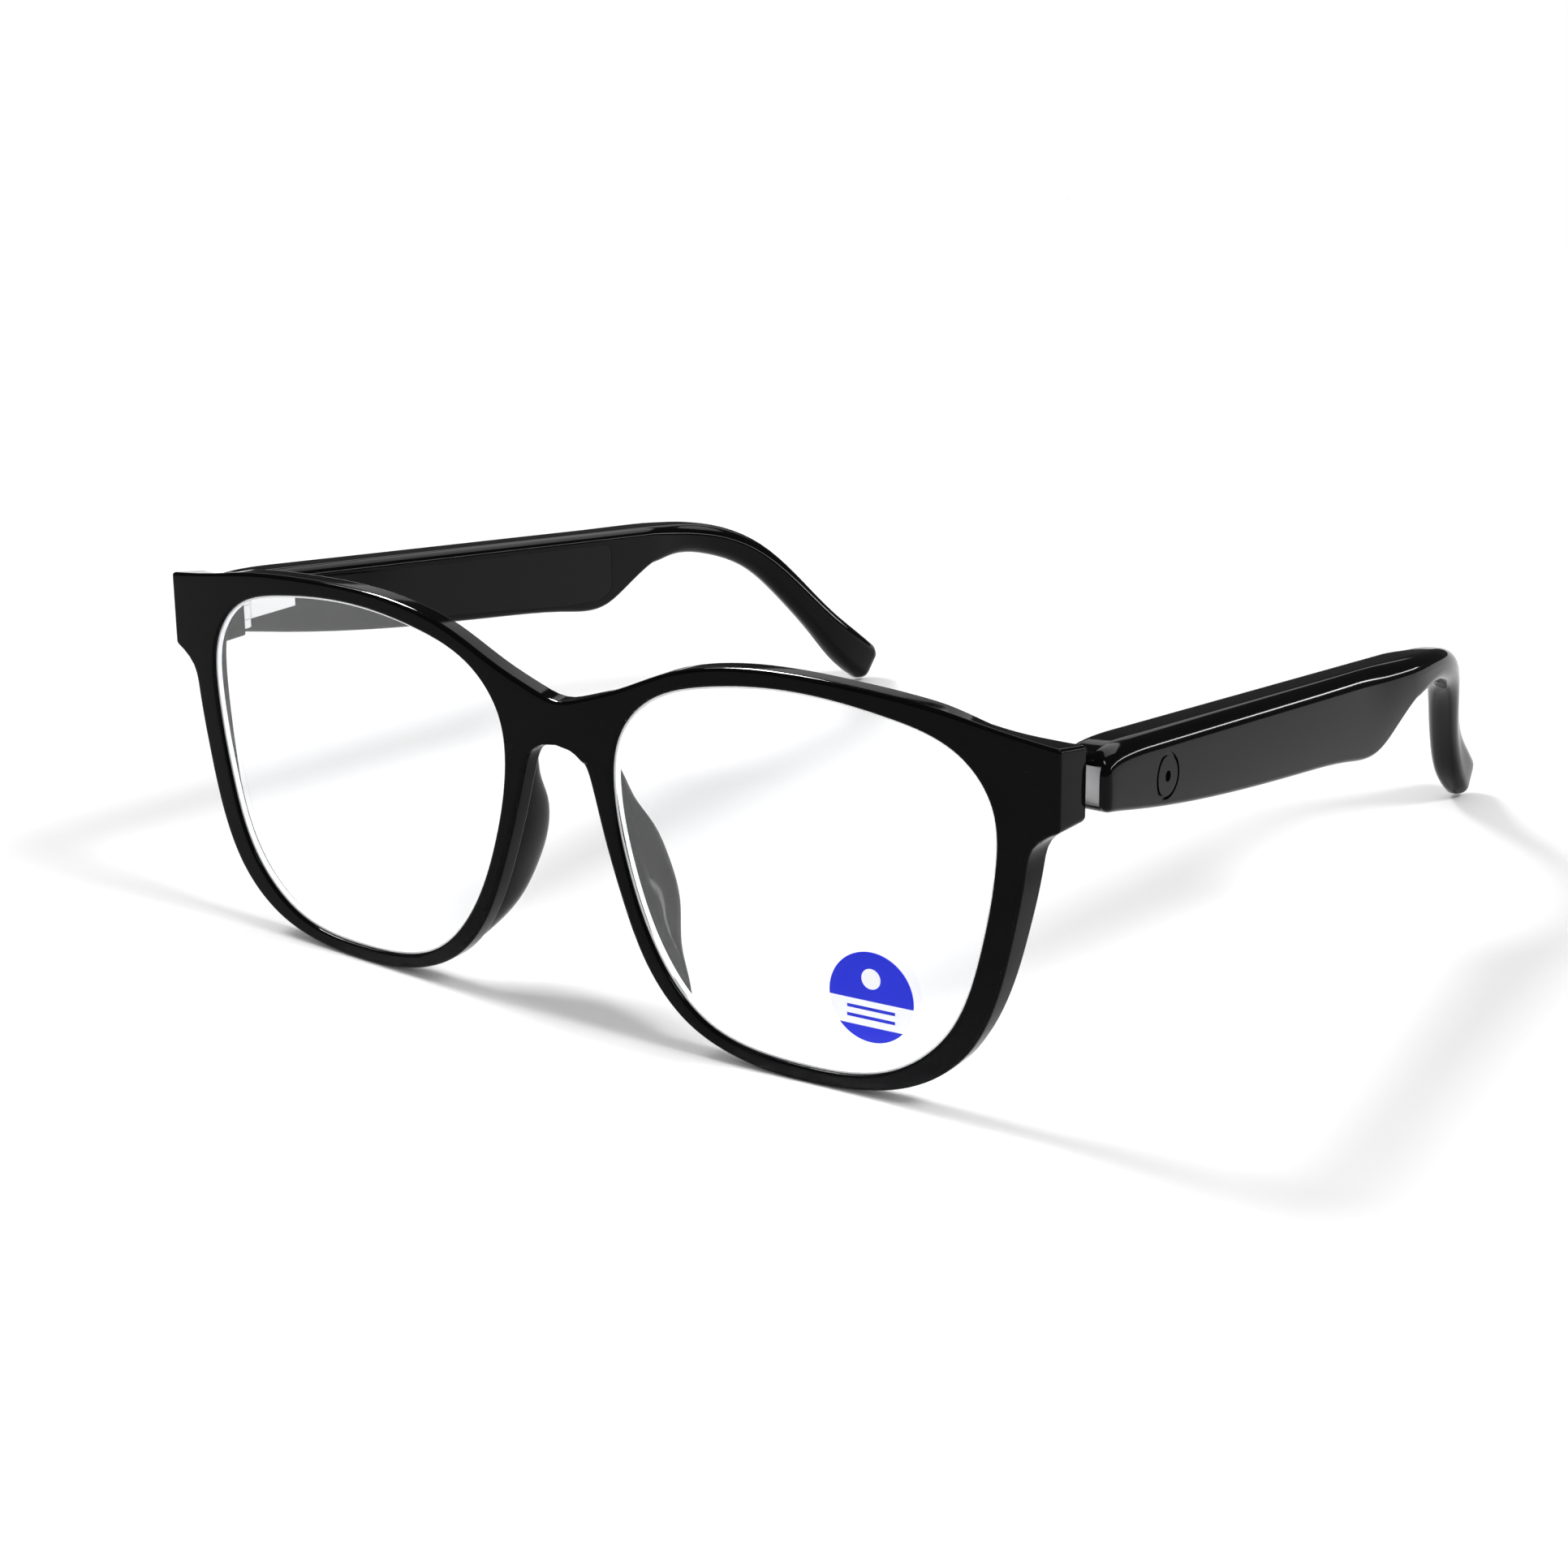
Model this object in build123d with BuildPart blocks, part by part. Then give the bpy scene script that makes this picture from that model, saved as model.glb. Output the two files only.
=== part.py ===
"""Smart glasses with audio temples: front frame, lenses, sprung hinges and powered temples.

Frame of the part: X across the face (+X is the wearer's left), Y from the front of the
glasses back to the ear tips, Z up from the surface the glasses stand on. The origin is
the middle of the base of the whole object's box. Everything on the left side is built
once and mirrored for the right. All sizes are in millimetres.
"""

import os
from math import atan2, cos, degrees, hypot, radians, sin, sqrt

from build123d import *

# Driving dimensions: whole object
TOTAL_DEPTH = 153.5
FRONT_Y = -TOTAL_DEPTH / 2  # foremost point of the front, in the middle of the bridge
LENS_CENTRE_Z = 32.9  # height of the lens centre line
LENS_CENTRE_X = 36.5

# Front frame
FRONT_RADIUS = 600.0  # the front is gently curved about a vertical axis
HALF_WIDTH = 72.5
RIM_DEPTH = 3.0
END_PIECE_BACK = 10.8  # how far the end pieces reach behind the bridge
END_PIECE_START_X = 62.0
CORNER_RADIUS = 1.0
GROOVE_DEPTH = 0.5

# Lenses and the round sticker
LENS_FRONT = 0.6  # lens front surface behind the front surface of the rim
LENS_THICKNESS = 1.8
STICKER_RADIUS = 5.95
STICKER_THICKNESS = 0.12
STICKER_CENTRE = (47.2, -19.7)

# Hinge, left side
AXIS_X = 67.2
AXIS_BACK = 13.0  # hinge axis behind the foremost point
HINGE_BOTTOM = 40.3
HINGE_TOP = 44.9
EYE_RADIUS = 1.5
EYE_GAP = 0.1
MIDDLE_EYE = 2.0
SCREW_RADIUS = 0.6
SCREW_CLEARANCE = 0.04
HEAD_RADIUS = 1.1
HEAD_HEIGHT = 0.6
LEAF_SCREWS = [(70.2, 41.5), (70.2, 43.7)]

# Temple, left side: s runs back along it, t outwards from its middle plane
SPLAY = 2.3  # degrees that each temple leans inwards
TEMPLE_X = 71.3
TEMPLE_BACK = 12.1  # where s is 0
HALF_THICKNESS = 3.3
END_FACE = -0.5
TOP_SLOPE = -0.13
SHELL_END = 92.0
OUTER_WALL = 1.4
COVER_THICKNESS = 1.15
GASKET_THICKNESS = 0.15
POCKET_DEPTH = 1.35
POCKET_LIP = 0.7
POCKET_CLEARANCE = 0.35
TOP_OUTER_FILLET = 2.4
TOP_INNER_FILLET = 1.5
BOTTOM_FILLET = 0.8
INNER_TILT = -8.4  # degrees that the inner parts slope, like the temple
MARK_CENTRE = (15.2, 40.0)
MARK_RADIUS = 3.0
MARK_LINE = 0.45
MARK_DEPTH = 0.25

# Outlines, as x from the middle and height from the lens centre line
BROW = [(0, 11.0), (4, 11.9), (10, 14.1), (18, 17.6), (26, 19.6), (35, 20.3), (45, 20.0),
        (55, 19.1), (63.5, 17.7), (73.0, 16.25)]
RIM_SIDE = [(73.0, 6.15), (70.9, 5.1), (69.0, 3.4), (68.1, 0), (66.7, -8), (64.6, -16.5),
            (60.8, -24.3), (53.8, -30.0), (45.2, -32.4), (36.5, -32.88)]
RIM_INNER = [(36.5, -32.88), (27.9, -32.0), (19.9, -28.8), (13.7, -22.2), (9.8, -13.5),
             (7.2, -5.5), (5.4, 1.0)]
ARCH = [(5.4, 1.0), (4.3, 3.4), (2.4, 4.7), (0, 5.1)]
LENS_OPENING = [(64.2, 0), (63.6, 8.0), (59.6, 13.3), (49.5, 16.8), (36.5, 18.0), (23.5, 16.6),
                (14.1, 12.9), (9.8, 7.4), (9.0, 0), (10.9, -9.5), (15.7, -20.8), (22.5, -27.9),
                (36.5, -30.8), (50.0, -28.9), (58.3, -21.8), (62.2, -11.5)]
# Nose pad sections: height, x at the rim, x at the free edge, how far back the edge is
PAD_SECTIONS = [(35.5, 6.9, 7.3, 4.4), (31.5, 7.6, 8.2, 6.0), (27.0, 8.7, 9.2, 8.8),
                (22.0, 10.1, 10.5, 10.3), (17.0, 11.9, 12.2, 10.1), (12.0, 14.4, 13.9, 7.9),
                (8.0, 17.4, 16.9, 5.4)]
PAD_HALF_THICKNESS = 1.2
PAD_FRONT = 1.0

# Temple outlines, as s and height above the base
TEMPLE_TOP = [(END_FACE, 46.1), (4.5, 46.9), (14.0, 45.9)]
TEMPLE_BOTTOM = [(END_FACE, 39.6), (9, 37.4), (32, 32.7), (55, 29.0), (70, 26.4), (79.5, 25.4),
                 (84, 27.0), (SHELL_END, 30.1)]
CAVITY = [(12.6, 43.45), (80.0, 34.7), (80.0, 28.2), (78.0, 27.3), (70.0, 28.1), (55.0, 30.7),
          (32.0, 34.4), (12.6, 38.4)]
# Ear hook sections: s, height, how far inwards, height of section, thickness
HOOK_SECTIONS = [(86.0, 33.4, 0.0, 5.6, 6.4), (97.0, 32.4, 0.1, 5.1, 6.0),
                 (107.0, 30.4, 1.2, 4.9, 5.3), (116.0, 26.0, 3.5, 4.8, 4.8),
                 (123.0, 19.1, 6.0, 4.9, 4.5), (129.2, 12.0, 8.0, 5.4, 4.4),
                 (134.6, 6.6, 9.0, 6.6, 4.4), (138.6, 3.4, 9.4, 6.6, 3.9),
                 (140.6, 2.0, 9.5, 4.4, 2.4)]
CORE_ROUTE = [(84.0, 33.6, 0.0), (104.0, 31.3, 0.6), (118.0, 24.6, 4.3), (129.6, 11.6, 8.1)]
CORE_RADIUS = 0.6
CORE_BEND = 14.0


def front_y(x, depth=0.0):
    """Y of the curved front at x, plus a depth behind it."""
    return FRONT_Y + FRONT_RADIUS - sqrt(FRONT_RADIUS**2 - x**2) + depth


def grown(points, distance):
    """Points of one lens outline moved away from its middle by a distance."""
    middle = (LENS_CENTRE_X, -6.0)
    moved = []
    for x, z in points:
        reach = hypot(x - middle[0], z - middle[1])
        scale = (reach + distance) / reach
        moved.append((middle[0] + (x - middle[0]) * scale, middle[1] + (z - middle[1]) * scale))
    return moved


def curved_slab(near, far):
    """Sheet that follows the curved front between two depths behind it."""
    edge = HALF_WIDTH + 5
    with BuildPart() as slab:
        with BuildSketch(Plane.XY.offset(-1)):
            with BuildLine():
                ThreePointArc((-edge, front_y(edge, near)), (0, front_y(0, near)),
                              (edge, front_y(edge, near)))
                Line((edge, front_y(edge, near)), (edge, front_y(edge, far)))
                ThreePointArc((edge, front_y(edge, far)), (0, front_y(0, far)),
                              (-edge, front_y(edge, far)))
                Line((-edge, front_y(edge, far)), (-edge, front_y(edge, near)))
            make_face()
        extrude(amount=60)
    return slab.part


def lens_solid(grow, near, far):
    """The left lens outline, grown, between two depths behind the front."""
    slab = curved_slab(near, far)
    with BuildPart() as solid:
        with BuildSketch(ELEVATION):
            with BuildLine():
                Spline(*grown(LENS_OPENING, grow), periodic=True)
            make_face()
        extrude(amount=-30)
        add(slab, mode=Mode.INTERSECT)
    return solid.part


def temple_point(s, height, inwards=0.0):
    """A point of the left temple in the part's frame."""
    return TEMPLE.from_local_coords((s, height, -inwards))


def temple_block(s, t, z, mode=Mode.ADD):
    """A block in the temple's own s, t and z, each given as (low, high)."""
    with BuildSketch(TEMPLE.offset(t[0])) as face:
        with Locations(((s[0] + s[1]) / 2, (z[0] + z[1]) / 2)):
            Rectangle(s[1] - s[0], z[1] - z[0])
    extrude(face.sketch, amount=t[1] - t[0], mode=mode)


def tilted_block(centre, length, height, t, corner=0.0):
    """A block that slopes with the temple, centred at (s, z) between two t values."""
    with BuildSketch(TEMPLE.offset(t[0])) as face:
        with Locations(Location((centre[0], centre[1], 0), (0, 0, INNER_TILT))):
            if corner:
                RectangleRounded(length, height, corner)
            else:
                Rectangle(length, height)
    extrude(face.sketch, amount=t[1] - t[0])


def underside(s, height, slope):
    """Plane on the temple's lower edge: x along it, z pointing down and out."""
    along = TEMPLE.x_dir * cos(radians(slope)) + Vector(0, 0, 1) * sin(radians(slope))
    return Plane(origin=temple_point(s, height), x_dir=along, z_dir=along.cross(TEMPLE.z_dir))


def export_one(part, name):
    """Label a solid and write it to its own file."""
    part.label = name
    export_step(part, f"parts/{name}.step")


def export_pair(part, name):
    """Write the left solid and its mirrored right twin."""
    export_one(part, f"{name}_left")
    export_one(mirror(part, about=Plane.YZ), f"{name}_right")


ELEVATION = Plane(origin=(0, FRONT_Y - 2, LENS_CENTRE_Z), x_dir=(1, 0, 0), z_dir=(0, -1, 0))
TEMPLE = Plane(
    origin=(TEMPLE_X, FRONT_Y + TEMPLE_BACK, 0),
    x_dir=(-sin(radians(SPLAY)), cos(radians(SPLAY)), 0),
    z_dir=(cos(radians(SPLAY)), sin(radians(SPLAY)), 0),
)
AXIS_Y = FRONT_Y + AXIS_BACK
AXIS_POINT = TEMPLE.to_local_coords(Vector(AXIS_X, AXIS_Y, 0))
STEM_T = -2.95
STEM_Z = (HINGE_BOTTOM + HINGE_TOP) / 2
os.makedirs("parts", exist_ok=True)

# ---------------------------------------------------------------- front frame
groove = lens_solid(GROOVE_DEPTH + 0.05, LENS_FRONT - 0.03, LENS_FRONT + LENS_THICKNESS + 0.03)
with BuildPart() as front_frame:
    # the left half: seen from the front, a rim with its opening, half the bridge, an end piece
    with BuildSketch(ELEVATION):
        with BuildLine():
            Spline(*BROW, tangents=((1, 0), (1, -0.12)))
            Line(BROW[-1], RIM_SIDE[0])
            Spline(*RIM_SIDE, tangents=((-1, -0.3), (-1, 0)))
            Spline(*RIM_INNER, tangents=((-1, 0), (-0.3, 1)))
            Spline(*ARCH, tangents=((-0.3, 1), (-1, 0)))
            Line(ARCH[-1], BROW[0])
        make_face()
        with BuildLine():
            Spline(*LENS_OPENING, periodic=True)
        make_face(mode=Mode.SUBTRACT)
    extrude(amount=-30)
    # seen from above: a curved front, a thin rim and a deeper end piece
    with BuildSketch(Plane.XY.offset(-1)) as plan:
        side = (HALF_WIDTH, front_y(HALF_WIDTH))
        back = (HALF_WIDTH, FRONT_Y + END_PIECE_BACK)
        thin = (END_PIECE_START_X, front_y(END_PIECE_START_X, RIM_DEPTH))
        with BuildLine():
            ThreePointArc((-1, front_y(1)), (LENS_CENTRE_X, front_y(LENS_CENTRE_X)), side)
            Line(side, back)
            Line(back, thin)
            ThreePointArc(thin, (LENS_CENTRE_X, front_y(LENS_CENTRE_X, RIM_DEPTH)),
                          (-1, front_y(1, RIM_DEPTH)))
            Line((-1, front_y(1, RIM_DEPTH)), (-1, front_y(1)))
        make_face()
        fillet(plan.vertices().filter_by(lambda v: v.X > HALF_WIDTH - 1), CORNER_RADIUS)
    extrude(amount=60, mode=Mode.INTERSECT)
    # solid block behind the end piece that holds the hinge leaf
    with BuildSketch(Plane.XY.offset(HINGE_BOTTOM - 0.4)):
        with Locations((67.85, FRONT_Y + 8.4)):
            RectangleRounded(7.3, 5.0, 0.4)
    extrude(amount=HINGE_TOP - HINGE_BOTTOM + 0.8)
    # nose pad, moulded in one with the rim
    for height, root, edge, reach in PAD_SECTIONS:
        lean = degrees(atan2(root - edge, reach - PAD_FRONT))
        with BuildSketch(Plane.XY.offset(height)):
            with Locations(((root + edge) / 2, FRONT_Y + (PAD_FRONT + reach) / 2)):
                Ellipse(PAD_HALF_THICKNESS, (reach - PAD_FRONT) / 2, rotation=lean)
    loft()
    # lens groove
    add(groove, mode=Mode.SUBTRACT)
    # seat for the hinge leaf: a recess for the plate, a slot for its two arms, screw holes
    with BuildSketch(Plane.XY.offset(HINGE_BOTTOM)):
        with Locations((AXIS_X, FRONT_Y + 10)):
            Rectangle(2 * EYE_RADIUS, 3.0)
        with Locations((68.3, FRONT_Y + 11.0)):
            Rectangle(6.0, 1.8)
    extrude(amount=HINGE_TOP - HINGE_BOTTOM, mode=Mode.SUBTRACT)
    with BuildSketch(Plane.XZ.offset(-FRONT_Y - 11)):
        with Locations(*LEAF_SCREWS):
            Circle(0.45)
    extrude(amount=4.0, mode=Mode.SUBTRACT)
    mirror(about=Plane.YZ)
export_one(front_frame.part, "front_frame")

# ---------------------------------------------------------------- lenses and sticker
lens = lens_solid(GROOVE_DEPTH, LENS_FRONT, LENS_FRONT + LENS_THICKNESS)
export_pair(lens, "lens")

sheet = curved_slab(LENS_FRONT - STICKER_THICKNESS - 0.01, LENS_FRONT - 0.01)
with BuildPart() as lens_sticker:
    with BuildSketch(ELEVATION):
        with Locations(STICKER_CENTRE):
            Circle(STICKER_RADIUS)
    extrude(amount=-30)
    add(sheet, mode=Mode.INTERSECT)
export_one(lens_sticker.part, "lens_sticker")

# ---------------------------------------------------------------- hinge on the front
LOWER_EYE_TOP = STEM_Z - MIDDLE_EYE / 2 - EYE_GAP
UPPER_EYE_BOTTOM = STEM_Z + MIDDLE_EYE / 2 + EYE_GAP
with BuildPart() as hinge_leaf:
    with BuildSketch(Plane.XY.offset(HINGE_BOTTOM + 0.02)):
        with Locations((AXIS_X, AXIS_Y)):
            Circle(EYE_RADIUS)
        with Locations((AXIS_X, FRONT_Y + 10.78)):
            Rectangle(2 * EYE_RADIUS - 0.06, 4.4)
        with Locations((68.3, FRONT_Y + 10.45)):
            Rectangle(5.9, 0.6)
    extrude(amount=HINGE_TOP - HINGE_BOTTOM - 0.04)
    with BuildSketch(Plane.XY.offset(LOWER_EYE_TOP)):
        with Locations((AXIS_X, AXIS_Y + 0.2)):
            Rectangle(4.0, 4.0)
    extrude(amount=UPPER_EYE_BOTTOM - LOWER_EYE_TOP, mode=Mode.SUBTRACT)
    with Locations((AXIS_X, AXIS_Y, HINGE_BOTTOM)):
        Cylinder(SCREW_RADIUS + SCREW_CLEARANCE, 10, mode=Mode.SUBTRACT)
    with Locations((AXIS_X, AXIS_Y, HINGE_TOP - HEAD_HEIGHT - 0.04)):
        Cylinder(HEAD_RADIUS + SCREW_CLEARANCE, 2, align=(Align.CENTER, Align.CENTER, Align.MIN),
                 mode=Mode.SUBTRACT)
    with BuildSketch(Plane.XZ.offset(-FRONT_Y - 9)):
        with Locations(*LEAF_SCREWS):
            Circle(0.45)
    extrude(amount=-4.0, mode=Mode.SUBTRACT)
export_pair(hinge_leaf.part, "hinge_leaf")

with BuildPart() as hinge_screw:
    with Locations((AXIS_X, AXIS_Y, HINGE_BOTTOM + 0.1)):
        Cylinder(SCREW_RADIUS, HINGE_TOP - HINGE_BOTTOM - HEAD_HEIGHT,
                 align=(Align.CENTER, Align.CENTER, Align.MIN))
    with Locations((AXIS_X, AXIS_Y, HINGE_TOP - HEAD_HEIGHT)):
        Cylinder(HEAD_RADIUS, HEAD_HEIGHT, align=(Align.CENTER, Align.CENTER, Align.MIN))
    with Locations((AXIS_X, AXIS_Y, HINGE_TOP)):
        Box(1.7, 0.25, 0.5, mode=Mode.SUBTRACT)
export_pair(hinge_screw.part, "hinge_screw")

with BuildPart() as leaf_screws:
    with BuildSketch(Plane.XZ.offset(-FRONT_Y - 10.75)):
        with Locations(*LEAF_SCREWS):
            Circle(0.42)
    extrude(amount=3.4)
    with BuildSketch(Plane.XZ.offset(-FRONT_Y - 10.75)):
        with Locations(*LEAF_SCREWS):
            Circle(0.75)
    extrude(amount=-0.3)
    with BuildSketch(Plane.XZ.offset(-FRONT_Y - 11.05)):
        with Locations(*LEAF_SCREWS):
            Rectangle(1.1, 0.2, rotation=35)
    extrude(amount=0.15, mode=Mode.SUBTRACT)
export_pair(leaf_screws.part, "leaf_screws")

# ---------------------------------------------------------------- sprung part of the hinge
with BuildPart() as hinge_slider:
    with Locations((AXIS_X, AXIS_Y, STEM_Z)):
        Cylinder(EYE_RADIUS - 0.05, MIDDLE_EYE)
    temple_block((AXIS_POINT.X, 4.2), (STEM_T - 0.7, STEM_T + 0.7), (STEM_Z - 0.85, STEM_Z + 0.85))
    rod_plane = Plane(origin=temple_point(4.0, STEM_Z, -STEM_T), z_dir=TEMPLE.x_dir)
    with BuildSketch(rod_plane):
        Circle(0.5)
    extrude(amount=6.9)
    with BuildSketch(rod_plane.offset(6.1)):
        RegularPolygon(0.95, 6)
    extrude(amount=0.8)
    with Locations((AXIS_X, AXIS_Y, STEM_Z)):
        Cylinder(SCREW_RADIUS + SCREW_CLEARANCE, MIDDLE_EYE + 2, mode=Mode.SUBTRACT)
export_pair(hinge_slider.part, "hinge_slider")

with BuildPart() as hinge_spring:
    with BuildSketch(rod_plane.offset(1.75)):
        Circle(1.0)
        Circle(0.6, mode=Mode.SUBTRACT)
    extrude(amount=4.25)
export_pair(hinge_spring.part, "hinge_spring")

with BuildPart() as spring_box:
    temple_block((2.9, 11.6), (-4.4, -1.5), (STEM_Z - 1.6, STEM_Z + 1.6))
    fillet(spring_box.faces().sort_by(Axis((0, 0, 0), tuple(TEMPLE.z_dir)))[0].edges(), 0.35)
    temple_block((0.6, 3.4), (-2.1, -1.5), (STEM_Z - 1.6, STEM_Z + 1.6))
    temple_block((0.6, 1.6), (-2.1, 2.1), (HINGE_BOTTOM, HINGE_TOP))
    temple_block((2.0, 4.6), (STEM_T - 0.78, STEM_T + 0.78), (STEM_Z - 0.93, STEM_Z + 0.93),
                 Mode.SUBTRACT)
    with BuildSketch(rod_plane):
        Circle(0.56)
    extrude(amount=3, mode=Mode.SUBTRACT)
    with BuildSketch(rod_plane.offset(1.6)):
        Circle(1.12)
    extrude(amount=5.6, mode=Mode.SUBTRACT)
export_pair(spring_box.part, "spring_box")

# ---------------------------------------------------------------- temple shell with ear hook
CHARGE_PLANE = underside(50.0, 29.72, -9.3)
SPEAKER_PLANE = underside(74.0, 25.78, -6.5)
MIC_PLANE = underside(19.0, 35.3, -11.6)
LIGHT_PLANE = underside(24.5, 34.15, -11.4)
with BuildPart() as temple_shell:
    with BuildSketch(TEMPLE.offset(-HALF_THICKNESS)):
        with BuildLine():
            end_top = (SHELL_END, TEMPLE_TOP[-1][1] + TOP_SLOPE * (SHELL_END - TEMPLE_TOP[-1][0]))
            Spline(*TEMPLE_TOP, tangents=((1, 0.6), (1, TOP_SLOPE)))
            Line(TEMPLE_TOP[-1], end_top)
            Line(end_top, TEMPLE_BOTTOM[-1])
            Spline(*TEMPLE_BOTTOM, tangents=((1, -0.2), (1, 0.25)))
            Line(TEMPLE_BOTTOM[0], TEMPLE_TOP[0])
        make_face()
    extrude(amount=2 * HALF_THICKNESS)
    outwards = Axis((0, 0, 0), tuple(TEMPLE.z_dir))
    outer_edges = temple_shell.faces().sort_by(outwards)[-1].edges().sort_by(Edge.length)
    inner_edges = temple_shell.faces().sort_by(outwards)[0].edges().sort_by(Edge.length)
    fillet([e for e in outer_edges if e.center().Z > 40 and e.length > 12], TOP_OUTER_FILLET)
    fillet([e for e in inner_edges if e.center().Z > 40 and e.length > 60], TOP_INNER_FILLET)
    # ear hook, lofted through rounded sections along its bend
    for index, (s, height, inwards, tall, thick) in enumerate(HOOK_SECTIONS):
        before = HOOK_SECTIONS[max(index - 1, 0)]
        after = HOOK_SECTIONS[min(index + 1, len(HOOK_SECTIONS) - 1)]
        heading = temple_point(*after[:3]) - temple_point(*before[:3])
        across = heading.cross(Vector(0, 0, 1)).normalized()
        with BuildSketch(Plane(origin=temple_point(s, height, inwards), x_dir=across,
                               z_dir=heading)):
            RectangleRounded(thick, tall, 0.38 * min(thick, tall))
    loft()
    # battery bay with a ledge for the cover
    with BuildSketch(TEMPLE.offset(-HALF_THICKNESS)) as bay:
        with BuildLine():
            Polyline(*CAVITY, close=True)
        make_face()
        fillet(bay.vertices(), 0.8)
    extrude(amount=2 * HALF_THICKNESS - OUTER_WALL, mode=Mode.SUBTRACT)
    with BuildSketch(TEMPLE.offset(-HALF_THICKNESS - 1)):
        add(bay.sketch_local)
        offset(amount=POCKET_LIP)
    extrude(amount=POCKET_DEPTH + 1, mode=Mode.SUBTRACT)
    # room for the hinge at the front end
    pocket = (HINGE_BOTTOM - POCKET_CLEARANCE, HINGE_TOP + POCKET_CLEARANCE)
    temple_block((-2, 1.7), (-4, 2.2), pocket, Mode.SUBTRACT)
    temple_block((-2, 2.95), (-4, -1.4), pocket, Mode.SUBTRACT)
    temple_block((1.5, 11.65), (-4, -1.45), (STEM_Z - 1.65, STEM_Z + 1.65), Mode.SUBTRACT)
    # engraved touch mark: a plain ring round a dot
    with BuildSketch(TEMPLE.offset(HALF_THICKNESS)):
        with Locations(MARK_CENTRE):
            Circle(MARK_RADIUS)
            Circle(MARK_RADIUS - MARK_LINE, mode=Mode.SUBTRACT)
            Circle(0.7)
    extrude(amount=-MARK_DEPTH, mode=Mode.SUBTRACT)
    # openings in the underside: charging port, loudspeaker, microphone and light
    with BuildSketch(CHARGE_PLANE.offset(1)):
        SlotOverall(10.0, 3.0)
    extrude(amount=-3.4, mode=Mode.SUBTRACT)
    with BuildSketch(SPEAKER_PLANE.offset(1)):
        SlotOverall(8.0, 2.4)
    extrude(amount=-3.6, mode=Mode.SUBTRACT)
    with BuildSketch(MIC_PLANE.offset(1)):
        Circle(0.4)
    extrude(amount=-3.4, mode=Mode.SUBTRACT)
    with BuildSketch(LIGHT_PLANE.offset(1)):
        Circle(0.6)
    extrude(amount=-3.4, mode=Mode.SUBTRACT)
    # bore for the metal core of the ear hook
    with BuildLine() as core_line:
        FilletPolyline(*[temple_point(*point) for point in CORE_ROUTE], radius=CORE_BEND)
    core_start = Plane(origin=core_line.line @ 0, z_dir=core_line.line % 0)
    with BuildSketch(core_start):
        Circle(CORE_RADIUS + 0.02)
    sweep(path=core_line.line, mode=Mode.SUBTRACT)
export_pair(temple_shell.part, "temple_shell")

with BuildPart() as tip_core:
    with BuildSketch(core_start):
        Circle(CORE_RADIUS)
    sweep(path=core_line.line)
export_pair(tip_core.part, "tip_core")

# ---------------------------------------------------------------- cover and its gasket
with BuildPart() as temple_cover:
    with BuildSketch(TEMPLE.offset(-HALF_THICKNESS + 0.05)):
        add(bay.sketch_local)
        offset(amount=POCKET_LIP - 0.05)
    extrude(amount=COVER_THICKNESS)
export_pair(temple_cover.part, "temple_cover")

with BuildPart() as cover_gasket:
    with BuildSketch(TEMPLE.offset(-HALF_THICKNESS + 0.05 + COVER_THICKNESS)):
        add(bay.sketch_local)
        offset(amount=POCKET_LIP - 0.05)
        add(bay.sketch_local, mode=Mode.SUBTRACT)
    extrude(amount=GASKET_THICKNESS)
export_pair(cover_gasket.part, "cover_gasket")

# ---------------------------------------------------------------- electronics
with BuildPart() as touch_sensor:
    with BuildSketch(TEMPLE.offset(1.5)):
        with Locations(MARK_CENTRE):
            Circle(1.9)
    extrude(amount=0.35)
export_pair(touch_sensor.part, "touch_sensor")

with BuildPart() as control_board:
    tilted_block((32.6, 37.6), 20.0, 5.0, (-1.3, -0.6), 0.5)
    tilted_block((28.6, 38.2), 4.4, 4.0, (-0.6, 0.3))
    tilted_block((36.0, 37.1), 3.0, 3.0, (-0.6, 0.1))
    tilted_block((40.0, 36.5), 1.6, 3.6, (-0.6, 0.4))
export_pair(control_board.part, "control_board")

with BuildPart() as battery:
    tilted_block((57.0, 34.15), 22.0, 5.6, (-1.7, 1.5), 1.0)
    tilted_block((45.4, 35.8), 1.4, 4.6, (-1.2, 1.0))
export_pair(battery.part, "battery")

with BuildPart() as speaker:
    tilted_block((74.2, 31.9), 9.4, 5.6, (-1.6, 1.2), 2.0)
export_pair(speaker.part, "speaker")

with BuildPart() as antenna_strip:
    tilted_block((33.0, 39.6), 20.0, 1.0, (1.4, 1.7))
export_pair(antenna_strip.part, "antenna_strip")

with BuildPart() as microphone:
    with BuildSketch(MIC_PLANE.offset(-1.9)):
        Rectangle(2.6, 1.8)
    extrude(amount=-0.9)
export_pair(microphone.part, "microphone")

with BuildPart() as status_light:
    with BuildSketch(LIGHT_PLANE.offset(-0.05)):
        Circle(0.55)
    extrude(amount=-2.0)
export_pair(status_light.part, "status_light")

with BuildPart() as speaker_grille:
    with BuildSketch(SPEAKER_PLANE.offset(-0.35)):
        SlotOverall(7.9, 2.3)
        with GridLocations(1.0, 0.8, 6, 2):
            Circle(0.25, mode=Mode.SUBTRACT)
    extrude(amount=-0.5)
export_pair(speaker_grille.part, "speaker_grille")

with BuildPart() as charge_port:
    with BuildSketch(CHARGE_PLANE.offset(-0.25)):
        SlotOverall(9.9, 2.9)
        with GridLocations(4.0, 1.0, 2, 1):
            Circle(0.8, mode=Mode.SUBTRACT)
    extrude(amount=-1.1)
export_pair(charge_port.part, "charge_port")

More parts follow.
